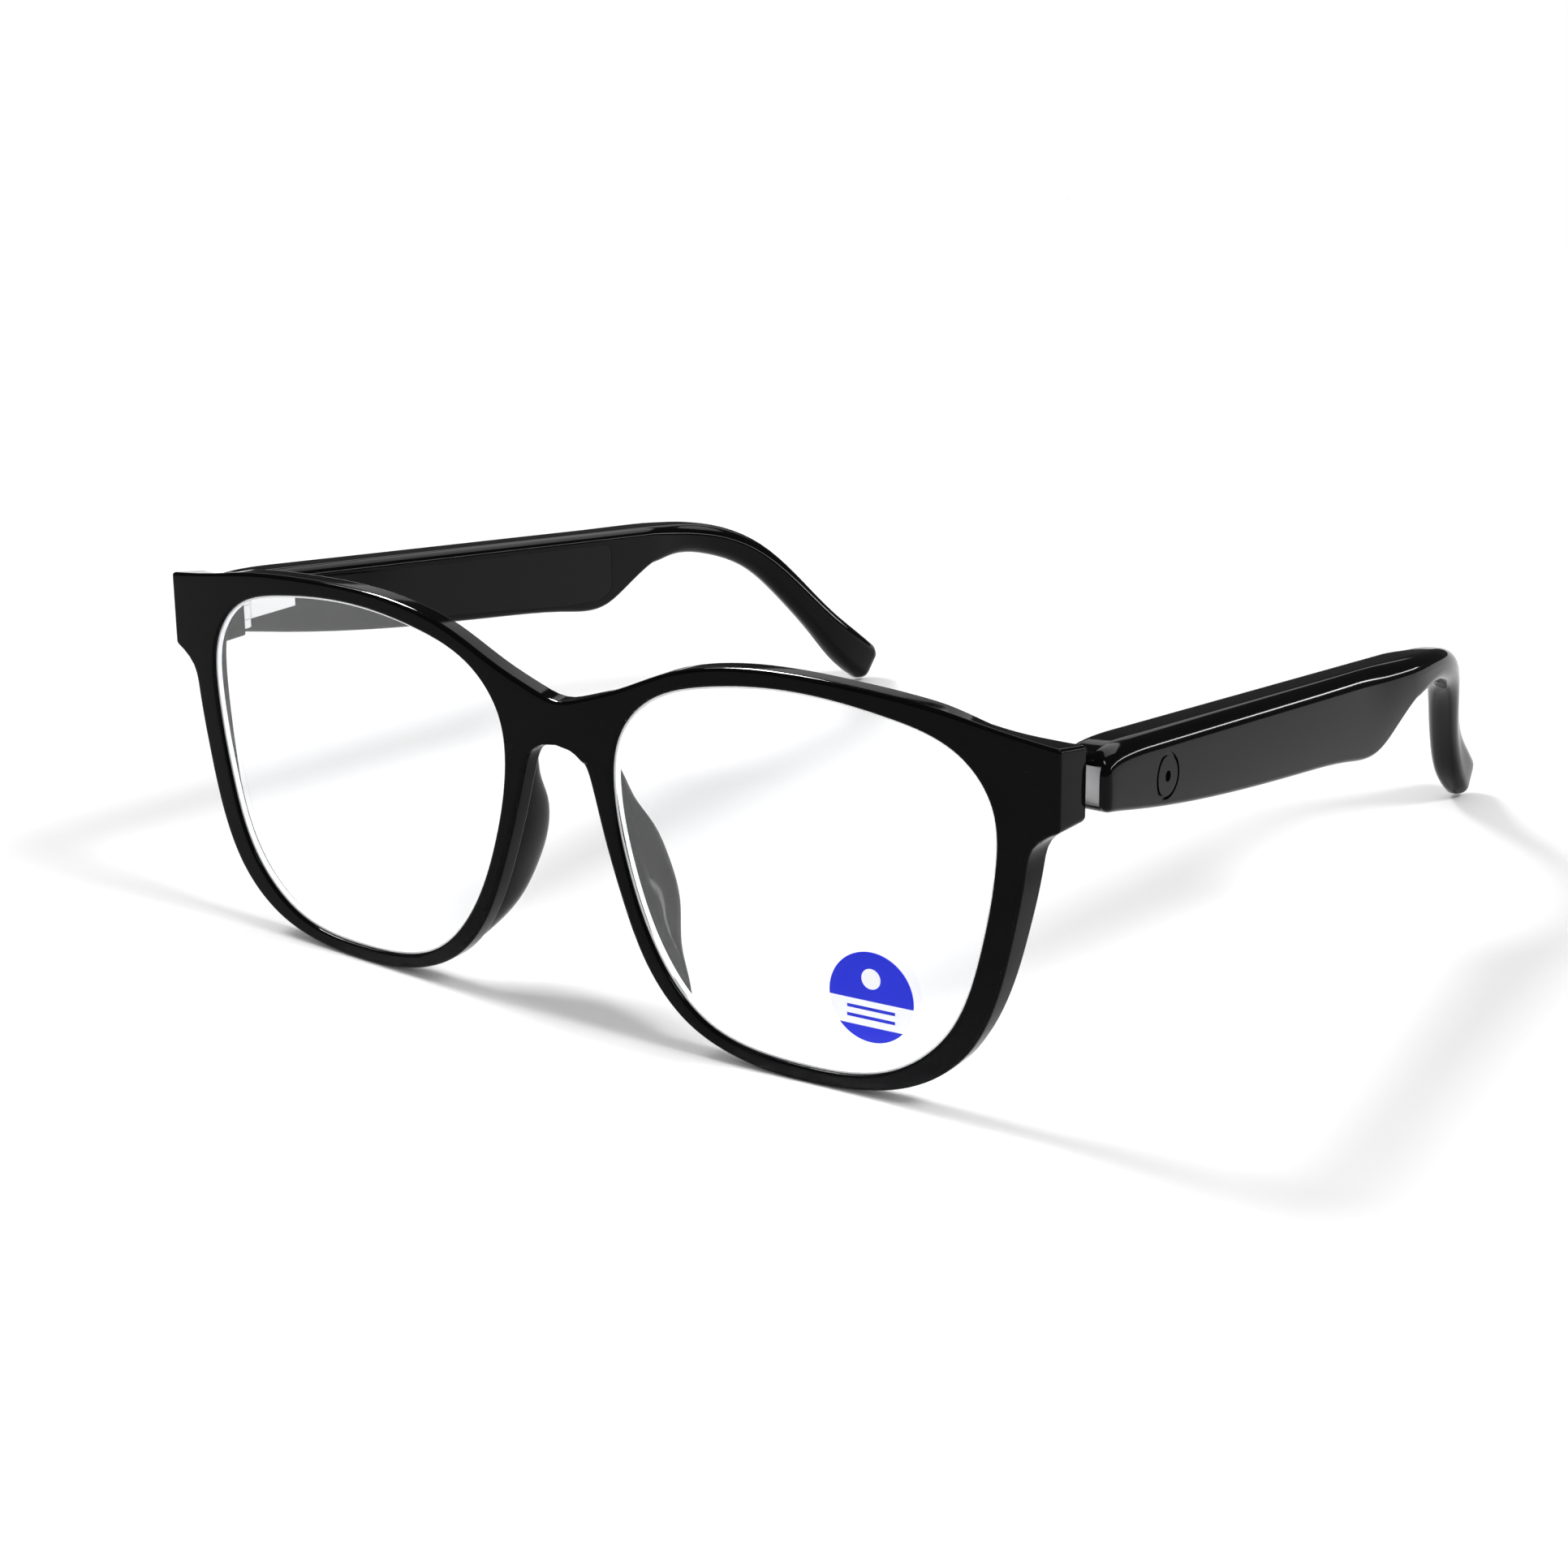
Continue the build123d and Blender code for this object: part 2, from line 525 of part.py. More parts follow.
with BuildPart() as charge_contacts:
    with BuildSketch(CHARGE_PLANE.offset(-0.2)):
        with GridLocations(4.0, 1.0, 2, 1):
            Circle(0.77)
    extrude(amount=-1.3)
export_pair(charge_contacts.part, "charge_contacts")
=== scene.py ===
"""Glossy black audio glasses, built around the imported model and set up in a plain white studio.

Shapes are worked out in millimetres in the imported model's own frame: X across the face with
+X on the wearer's left, Y from the front back to the ear tips, Z up from the surface that the
glasses stand on. A finished piece is scaled to metres. Whatever is the same on both sides is
built once for the left and mirrored for the right.
"""

import logging
from dataclasses import dataclass
from enum import Enum
from math import atan2, cos, hypot, pi, radians, sin, sqrt

import bmesh
import bpy
import numpy as np
from mathutils import Matrix, Vector

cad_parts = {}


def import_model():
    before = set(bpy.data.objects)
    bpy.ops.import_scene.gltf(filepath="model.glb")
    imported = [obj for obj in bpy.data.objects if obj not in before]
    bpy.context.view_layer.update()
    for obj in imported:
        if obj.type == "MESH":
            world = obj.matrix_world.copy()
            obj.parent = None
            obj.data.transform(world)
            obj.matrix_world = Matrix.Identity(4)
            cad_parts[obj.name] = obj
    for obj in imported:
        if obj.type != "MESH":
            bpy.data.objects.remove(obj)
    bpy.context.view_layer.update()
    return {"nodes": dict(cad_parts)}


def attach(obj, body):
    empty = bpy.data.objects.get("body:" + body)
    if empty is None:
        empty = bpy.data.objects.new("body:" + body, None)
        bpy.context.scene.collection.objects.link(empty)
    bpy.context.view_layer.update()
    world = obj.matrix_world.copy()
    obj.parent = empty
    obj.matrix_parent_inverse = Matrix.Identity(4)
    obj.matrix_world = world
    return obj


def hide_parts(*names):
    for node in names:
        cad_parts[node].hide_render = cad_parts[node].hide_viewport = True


LOG = logging.getLogger("glasses")
MM = 0.001
FRONT_Y = -76.75  # foremost point of the front, in the middle of the bridge
LENS_LINE = 32.9  # height of the line through the lens centres


class Side(Enum):
    """Side of the wearer that a piece belongs to, with the sign of its X."""

    LEFT = 1
    RIGHT = -1

    @property
    def word(self) -> str:
        """The side's word in node and body names."""
        return self.name.lower()


# ---------------------------------------------------------------- curves and meshes


def spline_through(points: list, closed: bool = False, start: tuple | None = None,
                   end: tuple | None = None, spacing: float = 1.0) -> np.ndarray:
    """Sample one smooth cubic curve through points of any number of dimensions.

    Args:
        points: The points that the curve passes through.
        closed: Whether the curve comes back to its first point.
        start: Direction at the first point of an open curve, or None to leave it free.
        end: Direction at the last point of an open curve, or None to leave it free.
        spacing: About how far apart the samples are.

    Returns:
        The samples, one row each. A closed curve doesn't repeat its first point.
    """
    knots = np.array(list(points) + ([points[0]] if closed else []), float)
    gaps = np.linalg.norm(np.diff(knots, axis=0), axis=1)
    slopes = np.diff(knots, axis=0) / gaps[:, None]
    count = len(knots)
    system = np.zeros((count, count))
    wanted = np.zeros_like(knots)
    for i in range(1, count - 1):
        system[i, i - 1:i + 2] = gaps[i], 2 * (gaps[i - 1] + gaps[i]), gaps[i - 1]
        wanted[i] = 3 * (gaps[i] * slopes[i - 1] + gaps[i - 1] * slopes[i])
    if closed:
        system[0, 0], system[0, -1] = 1, -1
        system[-1, -2], system[-1, 0], system[-1, 1] = gaps[0], 2 * (gaps[-1] + gaps[0]), gaps[-1]
        wanted[-1] = 3 * (gaps[0] * slopes[-1] + gaps[-1] * slopes[0])
    else:
        for row, beside, direction, slope in ((0, 1, start, slopes[0]), (-1, -2, end, slopes[-1])):
            system[row, row] = 1 if direction is not None else 2
            system[row, beside] = 0 if direction is not None else 1
            wanted[row] = (3 * slope if direction is None
                           else np.array(direction, float) / np.linalg.norm(direction))
    tangents = np.linalg.solve(system, wanted)
    samples = []
    for i, gap in enumerate(gaps):
        steps = max(int(round(gap / spacing)), 2)
        for t in np.arange(steps) / steps:
            samples.append((2 * t**3 - 3 * t**2 + 1) * knots[i]
                           + (t**3 - 2 * t**2 + t) * gap * tangents[i]
                           + (3 * t**2 - 2 * t**3) * knots[i + 1]
                           + (t**3 - t**2) * gap * tangents[i + 1])
    return np.array(samples if closed else samples + [knots[-1]])


def add_ring(bm: bmesh.types.BMesh, points: list) -> list:
    """Add a closed loop of edges through points and return its edges."""
    corners = [bm.verts.new(point) for point in points]
    return [bm.edges.new((corner, corners[(i + 1) % len(corners)]))
            for i, corner in enumerate(corners)]


def skin(bm: bmesh.types.BMesh, rings: list, around: bool = False) -> None:
    """Bridge rings of equal length one after another, and close the shape.

    Args:
        bm: The mesh that gets the surface.
        rings: Lists of points, all of one length, in order along the shape.
        around: Whether the last ring joins the first. Otherwise both get a face.
    """
    loops = [add_ring(bm, ring) for ring in rings]
    followers = loops[1:] + (loops[:1] if around else [])
    for near, far in zip(loops, followers):
        bmesh.ops.bridge_loops(bm, edges=near + far)
    if not around:
        bmesh.ops.contextual_create(bm, geom=loops[0])
        bmesh.ops.contextual_create(bm, geom=loops[-1])


def tidy(bm: bmesh.types.BMesh) -> None:
    """Merge doubled points and turn every face outwards."""
    bmesh.ops.remove_doubles(bm, verts=bm.verts[:], dist=1e-4)
    bmesh.ops.recalc_face_normals(bm, faces=bm.faces[:])


def round_edges(bm: bmesh.types.BMesh, edges: list, radius: float, segments: int = 3) -> None:
    """Round edges of a mesh to a radius."""
    bmesh.ops.bevel(bm, geom=edges, offset=radius, offset_type="OFFSET", affect="EDGES",
                    segments=segments, profile=0.5, material=-1, clamp_overlap=True)


def sharp_edges(bm: bmesh.types.BMesh, degrees: float = 50) -> list:
    """The edges at which a closed mesh turns by more than an angle."""
    return [edge for edge in bm.edges
            if edge.is_manifold and edge.calc_face_angle() > radians(degrees)]


def prism(outline: list, place: Matrix, low: float, high: float, corner: float = 0.0,
          edge: float = 0.0) -> bmesh.types.BMesh:
    """Make a flat outline into a block.

    Args:
        outline: Points of the outline, as (x, y) on the place's plane.
        place: Matrix of the plane that the outline lies in.
        low: Where the block starts along the plane's normal.
        high: Where it ends.
        corner: Radius at the outline's own corners.
        edge: Radius of the edges round the far end.

    Returns:
        The block as a new mesh.
    """
    bm = bmesh.new()
    face = bm.faces.new([bm.verts.new((x, y, low)) for x, y in outline])
    top = bmesh.ops.extrude_face_region(bm, geom=[face])["geom"]
    bmesh.ops.translate(bm, vec=(0, 0, high - low),
                        verts=[item for item in top if isinstance(item, bmesh.types.BMVert)])
    tidy(bm)
    if corner:
        upright = [e for e in bm.edges if abs(e.verts[0].co.z - e.verts[1].co.z) > 1e-6]
        round_edges(bm, upright, corner, 5)
    if edge:
        rim = [e for e in bm.edges if all(v.co.z > high - 1e-6 for v in e.verts)]
        round_edges(bm, rim, edge, 2)
    bmesh.ops.transform(bm, matrix=place, verts=bm.verts[:])
    tidy(bm)
    return bm


def circle(radius: float, count: int, centre: tuple = (0.0, 0.0)) -> list:
    """Points of a circle as (x, y)."""
    return [(centre[0] + radius * cos(2 * pi * i / count), centre[1] + radius * sin(2 * pi * i / count))
            for i in range(count)]


def slot_outline(length: float, width: float, count: int = 10) -> list:
    """Points of a slot with round ends, as (x, y)."""
    reach, radius = (length - width) / 2, width / 2
    turns = [(reach, -pi / 2), (-reach, pi / 2)]
    return [(middle + radius * cos(first + pi * i / count), radius * sin(first + pi * i / count))
            for middle, first in turns for i in range(count + 1)]


def rectangle(low: tuple, high: tuple) -> list:
    """Corners of a rectangle as (x, y)."""
    return [(low[0], low[1]), (high[0], low[1]), (high[0], high[1]), (low[0], high[1])]


def grown(outline: list, distance: float) -> list:
    """An outline of straight runs, with each run moved outwards by a distance."""
    points = [Vector(point) for point in outline]
    area = sum(a.cross(b) for a, b in zip(points, points[1:] + points[:1]))
    turn = 1 if area > 0 else -1
    moved = []
    for i, point in enumerate(points):
        before = (point - points[i - 1]).normalized()
        after = (points[(i + 1) % len(points)] - point).normalized()
        out = Vector((before.y + after.y, -before.x - after.x)) * turn
        out.normalize()
        square = Vector((before.y, -before.x)) * turn
        moved.append(tuple(point + out * distance / out.dot(square)))
    return moved


def as_object(bm: bmesh.types.BMesh, name: str) -> bpy.types.Object:
    """Link a mesh to the scene as an object and free the bmesh."""
    mesh = bpy.data.meshes.new(name)
    bm.to_mesh(mesh)
    bm.free()
    thing = bpy.data.objects.new(name, mesh)
    bpy.context.scene.collection.objects.link(thing)
    return thing


def carved(base: bmesh.types.BMesh, tools: list) -> bmesh.types.BMesh:
    """Cut tools out of a solid.

    Args:
        base: The solid. It is used up.
        tools: Closed meshes. They are used up.

    Returns:
        The result as a new mesh.
    """
    solid = as_object(base, "solid")
    helpers = [as_object(tool, "tool") for tool in tools]
    for helper in helpers:
        step = solid.modifiers.new("step", "BOOLEAN")
        step.operation = "DIFFERENCE"
        step.solver = "EXACT"
        step.object = helper
    graph = bpy.context.evaluated_depsgraph_get()
    mesh = bpy.data.meshes.new_from_object(solid.evaluated_get(graph))
    result = bmesh.new()
    result.from_mesh(mesh)
    for thing in [solid, *helpers]:
        data = thing.data
        bpy.data.objects.remove(thing)
        bpy.data.meshes.remove(data)
    bpy.data.meshes.remove(mesh)
    tidy(result)
    return result


def joined(parts: list) -> bmesh.types.BMesh:
    """Put several meshes into one and use them up."""
    whole = bmesh.new()
    for part in parts:
        mesh = bpy.data.meshes.new("part")
        part.to_mesh(mesh)
        part.free()
        whole.from_mesh(mesh)
        bpy.data.meshes.remove(mesh)
    return whole


@dataclass
class Piece:
    """Where a finished mesh belongs: its name, body, finish and the nodes it stands for."""

    name: str
    body: str
    finishes: tuple
    stands_for: tuple
    slot: str
    side: Side = Side.LEFT
    sharp: float = 32.0

    def finish(self, bm: bmesh.types.BMesh) -> bpy.types.Object:
        """Mirror, scale, shade and dress a mesh, and hang it on its body.

        Args:
            bm: The mesh in millimetres, as on the left side. It is used up.

        Returns:
            The finished object.
        """
        if self.side is Side.RIGHT:
            bmesh.ops.scale(bm, vec=(-1, 1, 1), verts=bm.verts[:])
            bmesh.ops.reverse_faces(bm, faces=bm.faces[:])
        bmesh.ops.scale(bm, vec=(MM, MM, MM), verts=bm.verts[:])
        thing = as_object(bm, self.name)
        for finish in self.finishes:
            thing.data.materials.append(finish.material())
        thing.data.shade_smooth()
        thing.data.set_sharp_from_angle(angle=radians(self.sharp))
        even = thing.modifiers.new("even_shading", "WEIGHTED_NORMAL")
        even.keep_sharp = True
        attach(thing, self.body)
        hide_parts(*self.stands_for)
        LOG.info("%s: %d faces on %s", self.name, len(thing.data.polygons), self.body)
        return thing


# ---------------------------------------------------------------- finishes


class Wiring:
    """A material's nodes, with short ways to add and join them."""

    def __init__(self, name: str) -> None:
        """Start a material with one Principled shader.

        Args:
            name: The material's name.
        """
        self.result = bpy.data.materials.new(name)
        self.result.use_nodes = True
        self.nodes = self.result.node_tree.nodes
        self.shader = self.nodes["Principled BSDF"]

    def link(self, source: bpy.types.NodeSocket, target: bpy.types.NodeSocket) -> None:
        """Join an output to an input."""
        self.result.node_tree.links.new(source, target)

    def set(self, **values: float | tuple) -> None:
        """Set the shader's own sockets, with an underscore for each space in a name."""
        for name, value in values.items():
            self.shader.inputs[name.replace("_", " ")].default_value = value

    def place(self, centre: tuple = (0, 0, 0), stretch: tuple = (1, 1, 1)) -> bpy.types.NodeSocket:
        """Object coordinates in millimetres.

        Args:
            centre: The point in millimetres that becomes the origin.
            stretch: Factor for each direction.

        Returns:
            The coordinates.
        """
        here = self.nodes.new("ShaderNodeTexCoord")
        mapping = self.nodes.new("ShaderNodeMapping")
        mapping.inputs["Scale"].default_value = [factor / MM for factor in stretch]
        mapping.inputs["Location"].default_value = [-c * f for c, f in zip(centre, stretch)]
        self.link(here.outputs["Object"], mapping.inputs["Vector"])
        return mapping.outputs["Vector"]

    def noise(self, where: bpy.types.NodeSocket, scale: float, detail: float = 3.0) -> bpy.types.NodeSocket:
        """Noise with about scale patches per millimetre."""
        node = self.nodes.new("ShaderNodeTexNoise")
        node.inputs["Scale"].default_value = scale
        node.inputs["Detail"].default_value = detail
        self.link(where, node.inputs["Vector"])
        return node.outputs["Fac"]

    def spread(self, value: bpy.types.NodeSocket, low: float, high: float) -> bpy.types.NodeSocket:
        """Stretch the usual range of a noise to run from low to high."""
        node = self.nodes.new("ShaderNodeMapRange")
        node.inputs["From Min"].default_value = 0.3
        node.inputs["From Max"].default_value = 0.7
        node.inputs["To Min"].default_value = low
        node.inputs["To Max"].default_value = high
        self.link(value, node.inputs["Value"])
        return node.outputs["Result"]

    def math(self, operation: str, *values: bpy.types.NodeSocket | float) -> bpy.types.NodeSocket:
        """Combine numbers or sockets by one of the math node's operations."""
        node = self.nodes.new("ShaderNodeMath")
        node.operation = operation
        for value, target in zip(values, node.inputs):
            if isinstance(value, bpy.types.NodeSocket):
                self.link(value, target)
            else:
                target.default_value = value
        return node.outputs[0]

    def axes(self, where: bpy.types.NodeSocket) -> tuple:
        """The X, Y and Z of a vector."""
        node = self.nodes.new("ShaderNodeSeparateXYZ")
        self.link(where, node.inputs[0])
        return tuple(node.outputs)

    def blend(self, share: bpy.types.NodeSocket, first: tuple, second: tuple) -> bpy.types.NodeSocket:
        """Mix two colours by a share.

        Args:
            share: 0 for the first colour and 1 for the second.
            first: Red, green and blue.
            second: Red, green and blue.

        Returns:
            The mixed colour.
        """
        node = self.nodes.new("ShaderNodeMix")
        node.data_type = "RGBA"
        self.link(share, node.inputs["Factor"])
        node.inputs["A"].default_value = (*first, 1)
        node.inputs["B"].default_value = (*second, 1)
        return node.outputs["Result"]

    def bump(self, height: bpy.types.NodeSocket, strength: float, depth: float) -> None:
        """Give the shader a relief of a depth in millimetres."""
        node = self.nodes.new("ShaderNodeBump")
        node.inputs["Strength"].default_value = strength
        node.inputs["Distance"].default_value = depth * MM
        self.link(height, node.inputs["Height"])
        self.link(node.outputs["Normal"], self.shader.inputs["Normal"])


class Finish:
    """A surface finish that makes its material once and then hands out the same one."""

    made: dict = {}

    def material(self) -> bpy.types.Material:
        """The finish as a Blender material."""
        if self not in Finish.made:
            Finish.made[self] = self.build()
        return Finish.made[self]

    def build(self) -> bpy.types.Material:
        """Make the material."""
        raise NotImplementedError


@dataclass(frozen=True)
class PolishedPlastic(Finish):
    """Tumbled and polished plastic, with the faint waves that polishing leaves."""

    name: str
    dark: tuple
    light: tuple
    smooth: float = 0.04
    worn: float = 0.09
    gloss: float = 0.1
    wave: float = 0.004

    def build(self) -> bpy.types.Material:
        """Make the material."""
        wiring = Wiring(self.name)
        where = wiring.place()
        broad = wiring.noise(where, 0.12, 2.0)
        fine = wiring.noise(where, 2.2, 4.0)
        wiring.link(wiring.blend(broad, self.dark, self.light), wiring.shader.inputs["Base Color"])
        wiring.link(wiring.spread(fine, self.smooth, self.worn), wiring.shader.inputs["Roughness"])
        wiring.set(Specular_IOR_Level=self.gloss, IOR=1.49)
        wiring.bump(wiring.noise(where, 0.35, 1.0), 0.25, self.wave)
        return wiring.result


@dataclass(frozen=True)
class ClearLens(Finish):
    """Hard coated clear plastic."""

    name: str = "lens_clear_coated"

    def build(self) -> bpy.types.Material:
        """Make the material."""
        wiring = Wiring(self.name)
        where = wiring.place()
        wiring.link(wiring.spread(wiring.noise(where, 0.25), 0.0, 0.012),
                    wiring.shader.inputs["Roughness"])
        wiring.set(Base_Color=(0.985, 0.99, 1.0, 1), Transmission_Weight=1.0, IOR=1.5)
        return wiring.result


@dataclass(frozen=True)
class GroundEdge(Finish):
    """The frosted white band where a lens has been ground to fit its rim, with a faint painted glow: a
    white emission that stands in for light carried along the lens edge.
    """

    name: str = "lens_ground_edge_painted_glow"

    def build(self) -> bpy.types.Material:
        """Make the material."""
        wiring = Wiring(self.name)
        grain = wiring.noise(wiring.place(), 6.0, 4.0)
        wiring.link(wiring.blend(grain, (0.90, 0.91, 0.92), (0.98, 0.98, 0.99)),
                    wiring.shader.inputs["Base Color"])
        wiring.link(wiring.spread(grain, 0.35, 0.6), wiring.shader.inputs["Roughness"])
        # Painted glow: the white emission stands in for light carried along the lens edge, though the band
        # is no lamp.
        wiring.set(Emission_Color=(1, 1, 1, 1), Emission_Strength=0.25)
        wiring.bump(grain, 0.3, 0.02)
        return wiring.result


@dataclass(frozen=True)
class PrintedFilm(Finish):
    """Round film with a plain printed pattern: a white dot, a white band and two thin rules."""

    centre: tuple
    name: str = "film_blue_print"
    band: tuple = (-3.9, -0.5)
    rules: tuple = (-1.55, -2.75)
    rule_half_width: float = 0.22
    rule_reach: float = 3.4
    dot: tuple = (0.0, 2.45)
    dot_radius: float = 1.35

    def build(self) -> bpy.types.Material:
        """Make the material."""
        wiring = Wiring(self.name)
        where = wiring.place(self.centre)
        x, _, z = wiring.axes(where)
        above = wiring.math("GREATER_THAN", z, self.band[0])
        below = wiring.math("LESS_THAN", z, self.band[1])
        white = wiring.math("MULTIPLY", above, below)
        inside = wiring.math("LESS_THAN", wiring.math("ABSOLUTE", x), self.rule_reach)
        for height in self.rules:
            near = wiring.math("LESS_THAN", wiring.math("ABSOLUTE", wiring.math("SUBTRACT", z, height)),
                               self.rule_half_width)
            white = wiring.math("SUBTRACT", white, wiring.math("MULTIPLY", near, inside))
        across = wiring.math("POWER", wiring.math("SUBTRACT", x, self.dot[0]), 2.0)
        up = wiring.math("POWER", wiring.math("SUBTRACT", z, self.dot[1]), 2.0)
        dot = wiring.math("LESS_THAN", wiring.math("ADD", across, up), self.dot_radius**2)
        white = wiring.math("MAXIMUM", white, dot)
        wiring.link(wiring.blend(white, (0.008, 0.020, 0.60), (0.9, 0.91, 0.93)),
                    wiring.shader.inputs["Base Color"])
        wiring.link(wiring.spread(wiring.noise(where, 1.5), 0.3, 0.42),
                    wiring.shader.inputs["Roughness"])
        wiring.set(Specular_IOR_Level=0.2)
        return wiring.result


@dataclass(frozen=True)
class Metal(Finish):
    """Bare or plated metal with a directional grain."""

    name: str
    dark: tuple
    light: tuple
    smooth: float
    worn: float
    grain: tuple = (1.0, 1.0, 9.0)
    metallic: float = 1.0

    def build(self) -> bpy.types.Material:
        """Make the material."""
        wiring = Wiring(self.name)
        lines = wiring.noise(wiring.place(stretch=self.grain), 1.6, 4.0)
        wiring.link(wiring.blend(lines, self.dark, self.light), wiring.shader.inputs["Base Color"])
        wiring.link(wiring.spread(lines, self.smooth, self.worn), wiring.shader.inputs["Roughness"])
        wiring.set(Metallic=self.metallic)
        wiring.bump(lines, 0.15, 0.01)
        return wiring.result


@dataclass(frozen=True)
class Matt(Finish):
    """Moulded plastic, foam, board or foil with a fine texture."""

    name: str
    dark: tuple
    light: tuple
    rough: tuple = (0.45, 0.65)
    scale: float = 4.0
    relief: float = 0.02

    def build(self) -> bpy.types.Material:
        """Make the material."""
        wiring = Wiring(self.name)
        grain = wiring.noise(wiring.place(), self.scale, 4.0)
        wiring.link(wiring.blend(grain, self.dark, self.light), wiring.shader.inputs["Base Color"])
        wiring.link(wiring.spread(grain, *self.rough), wiring.shader.inputs["Roughness"])
        wiring.bump(grain, 0.35, self.relief)
        return wiring.result


FRAME_BLACK = PolishedPlastic("frame_black_polished", (0.0015, 0.0015, 0.0017), (0.003, 0.003, 0.0033),
                              gloss=0.05)
TEMPLE_BLACK = PolishedPlastic("temple_black_polished", (0.0015, 0.0015, 0.0017), (0.003, 0.003, 0.0033),
                               gloss=0.08)
COVER_BLACK = PolishedPlastic("cover_black_polished", (0.0017, 0.0017, 0.0019), (0.0032, 0.0032, 0.0035),
                              0.05, 0.1)
STEEL = Metal("hinge_steel_polished", (0.84, 0.84, 0.85), (0.95, 0.95, 0.96), 0.12, 0.24, metallic=0.15)
SCREW = Metal("screw_steel_bright", (0.66, 0.66, 0.68), (0.8, 0.8, 0.82), 0.12, 0.24, (6.0, 6.0, 1.0))

CARRIED = {
    "hinge_leaf": STEEL,
    "hinge_slider": STEEL,
    "spring_box": STEEL,
    "hinge_screw": SCREW,
    "leaf_screws": SCREW,
    "cover_gasket": Matt("gasket_foam_black", (0.01, 0.01, 0.01), (0.03, 0.03, 0.03), (0.8, 0.95), 7.0),
    "touch_sensor": Metal("sensor_copper", (0.62, 0.33, 0.17), (0.78, 0.44, 0.25), 0.25, 0.4),
    "control_board": Matt("board_green_mask", (0.004, 0.05, 0.018), (0.01, 0.09, 0.035), (0.3, 0.45), 1.2),
    "battery": Metal("battery_foil_silver", (0.55, 0.56, 0.57), (0.75, 0.76, 0.78), 0.3, 0.5),
    "speaker": Matt("speaker_case_black", (0.012, 0.012, 0.012), (0.025, 0.025, 0.025)),
    "speaker_grille": Metal("grille_steel_black", (0.03, 0.03, 0.032), (0.07, 0.07, 0.075), 0.35, 0.5),
    "microphone": Metal("microphone_can", (0.6, 0.56, 0.45), (0.75, 0.71, 0.6), 0.25, 0.4),
    "status_light": Matt("light_pipe_frosted", (0.75, 0.78, 0.8), (0.9, 0.92, 0.93), (0.25, 0.4), 3.0),
    "charge_port": Matt("port_plastic_black", (0.008, 0.008, 0.008), (0.018, 0.018, 0.018)),
    "charge_contacts": Metal("contact_gold", (0.75, 0.5, 0.18), (0.92, 0.68, 0.3), 0.15, 0.28),
    "antenna_strip": Metal("antenna_copper_film", (0.6, 0.3, 0.15), (0.75, 0.42, 0.24), 0.3, 0.45),
    "tip_core": Metal("core_wire_drawn", (0.5, 0.5, 0.52), (0.65, 0.65, 0.67), 0.25, 0.4),
}


# ---------------------------------------------------------------- the front


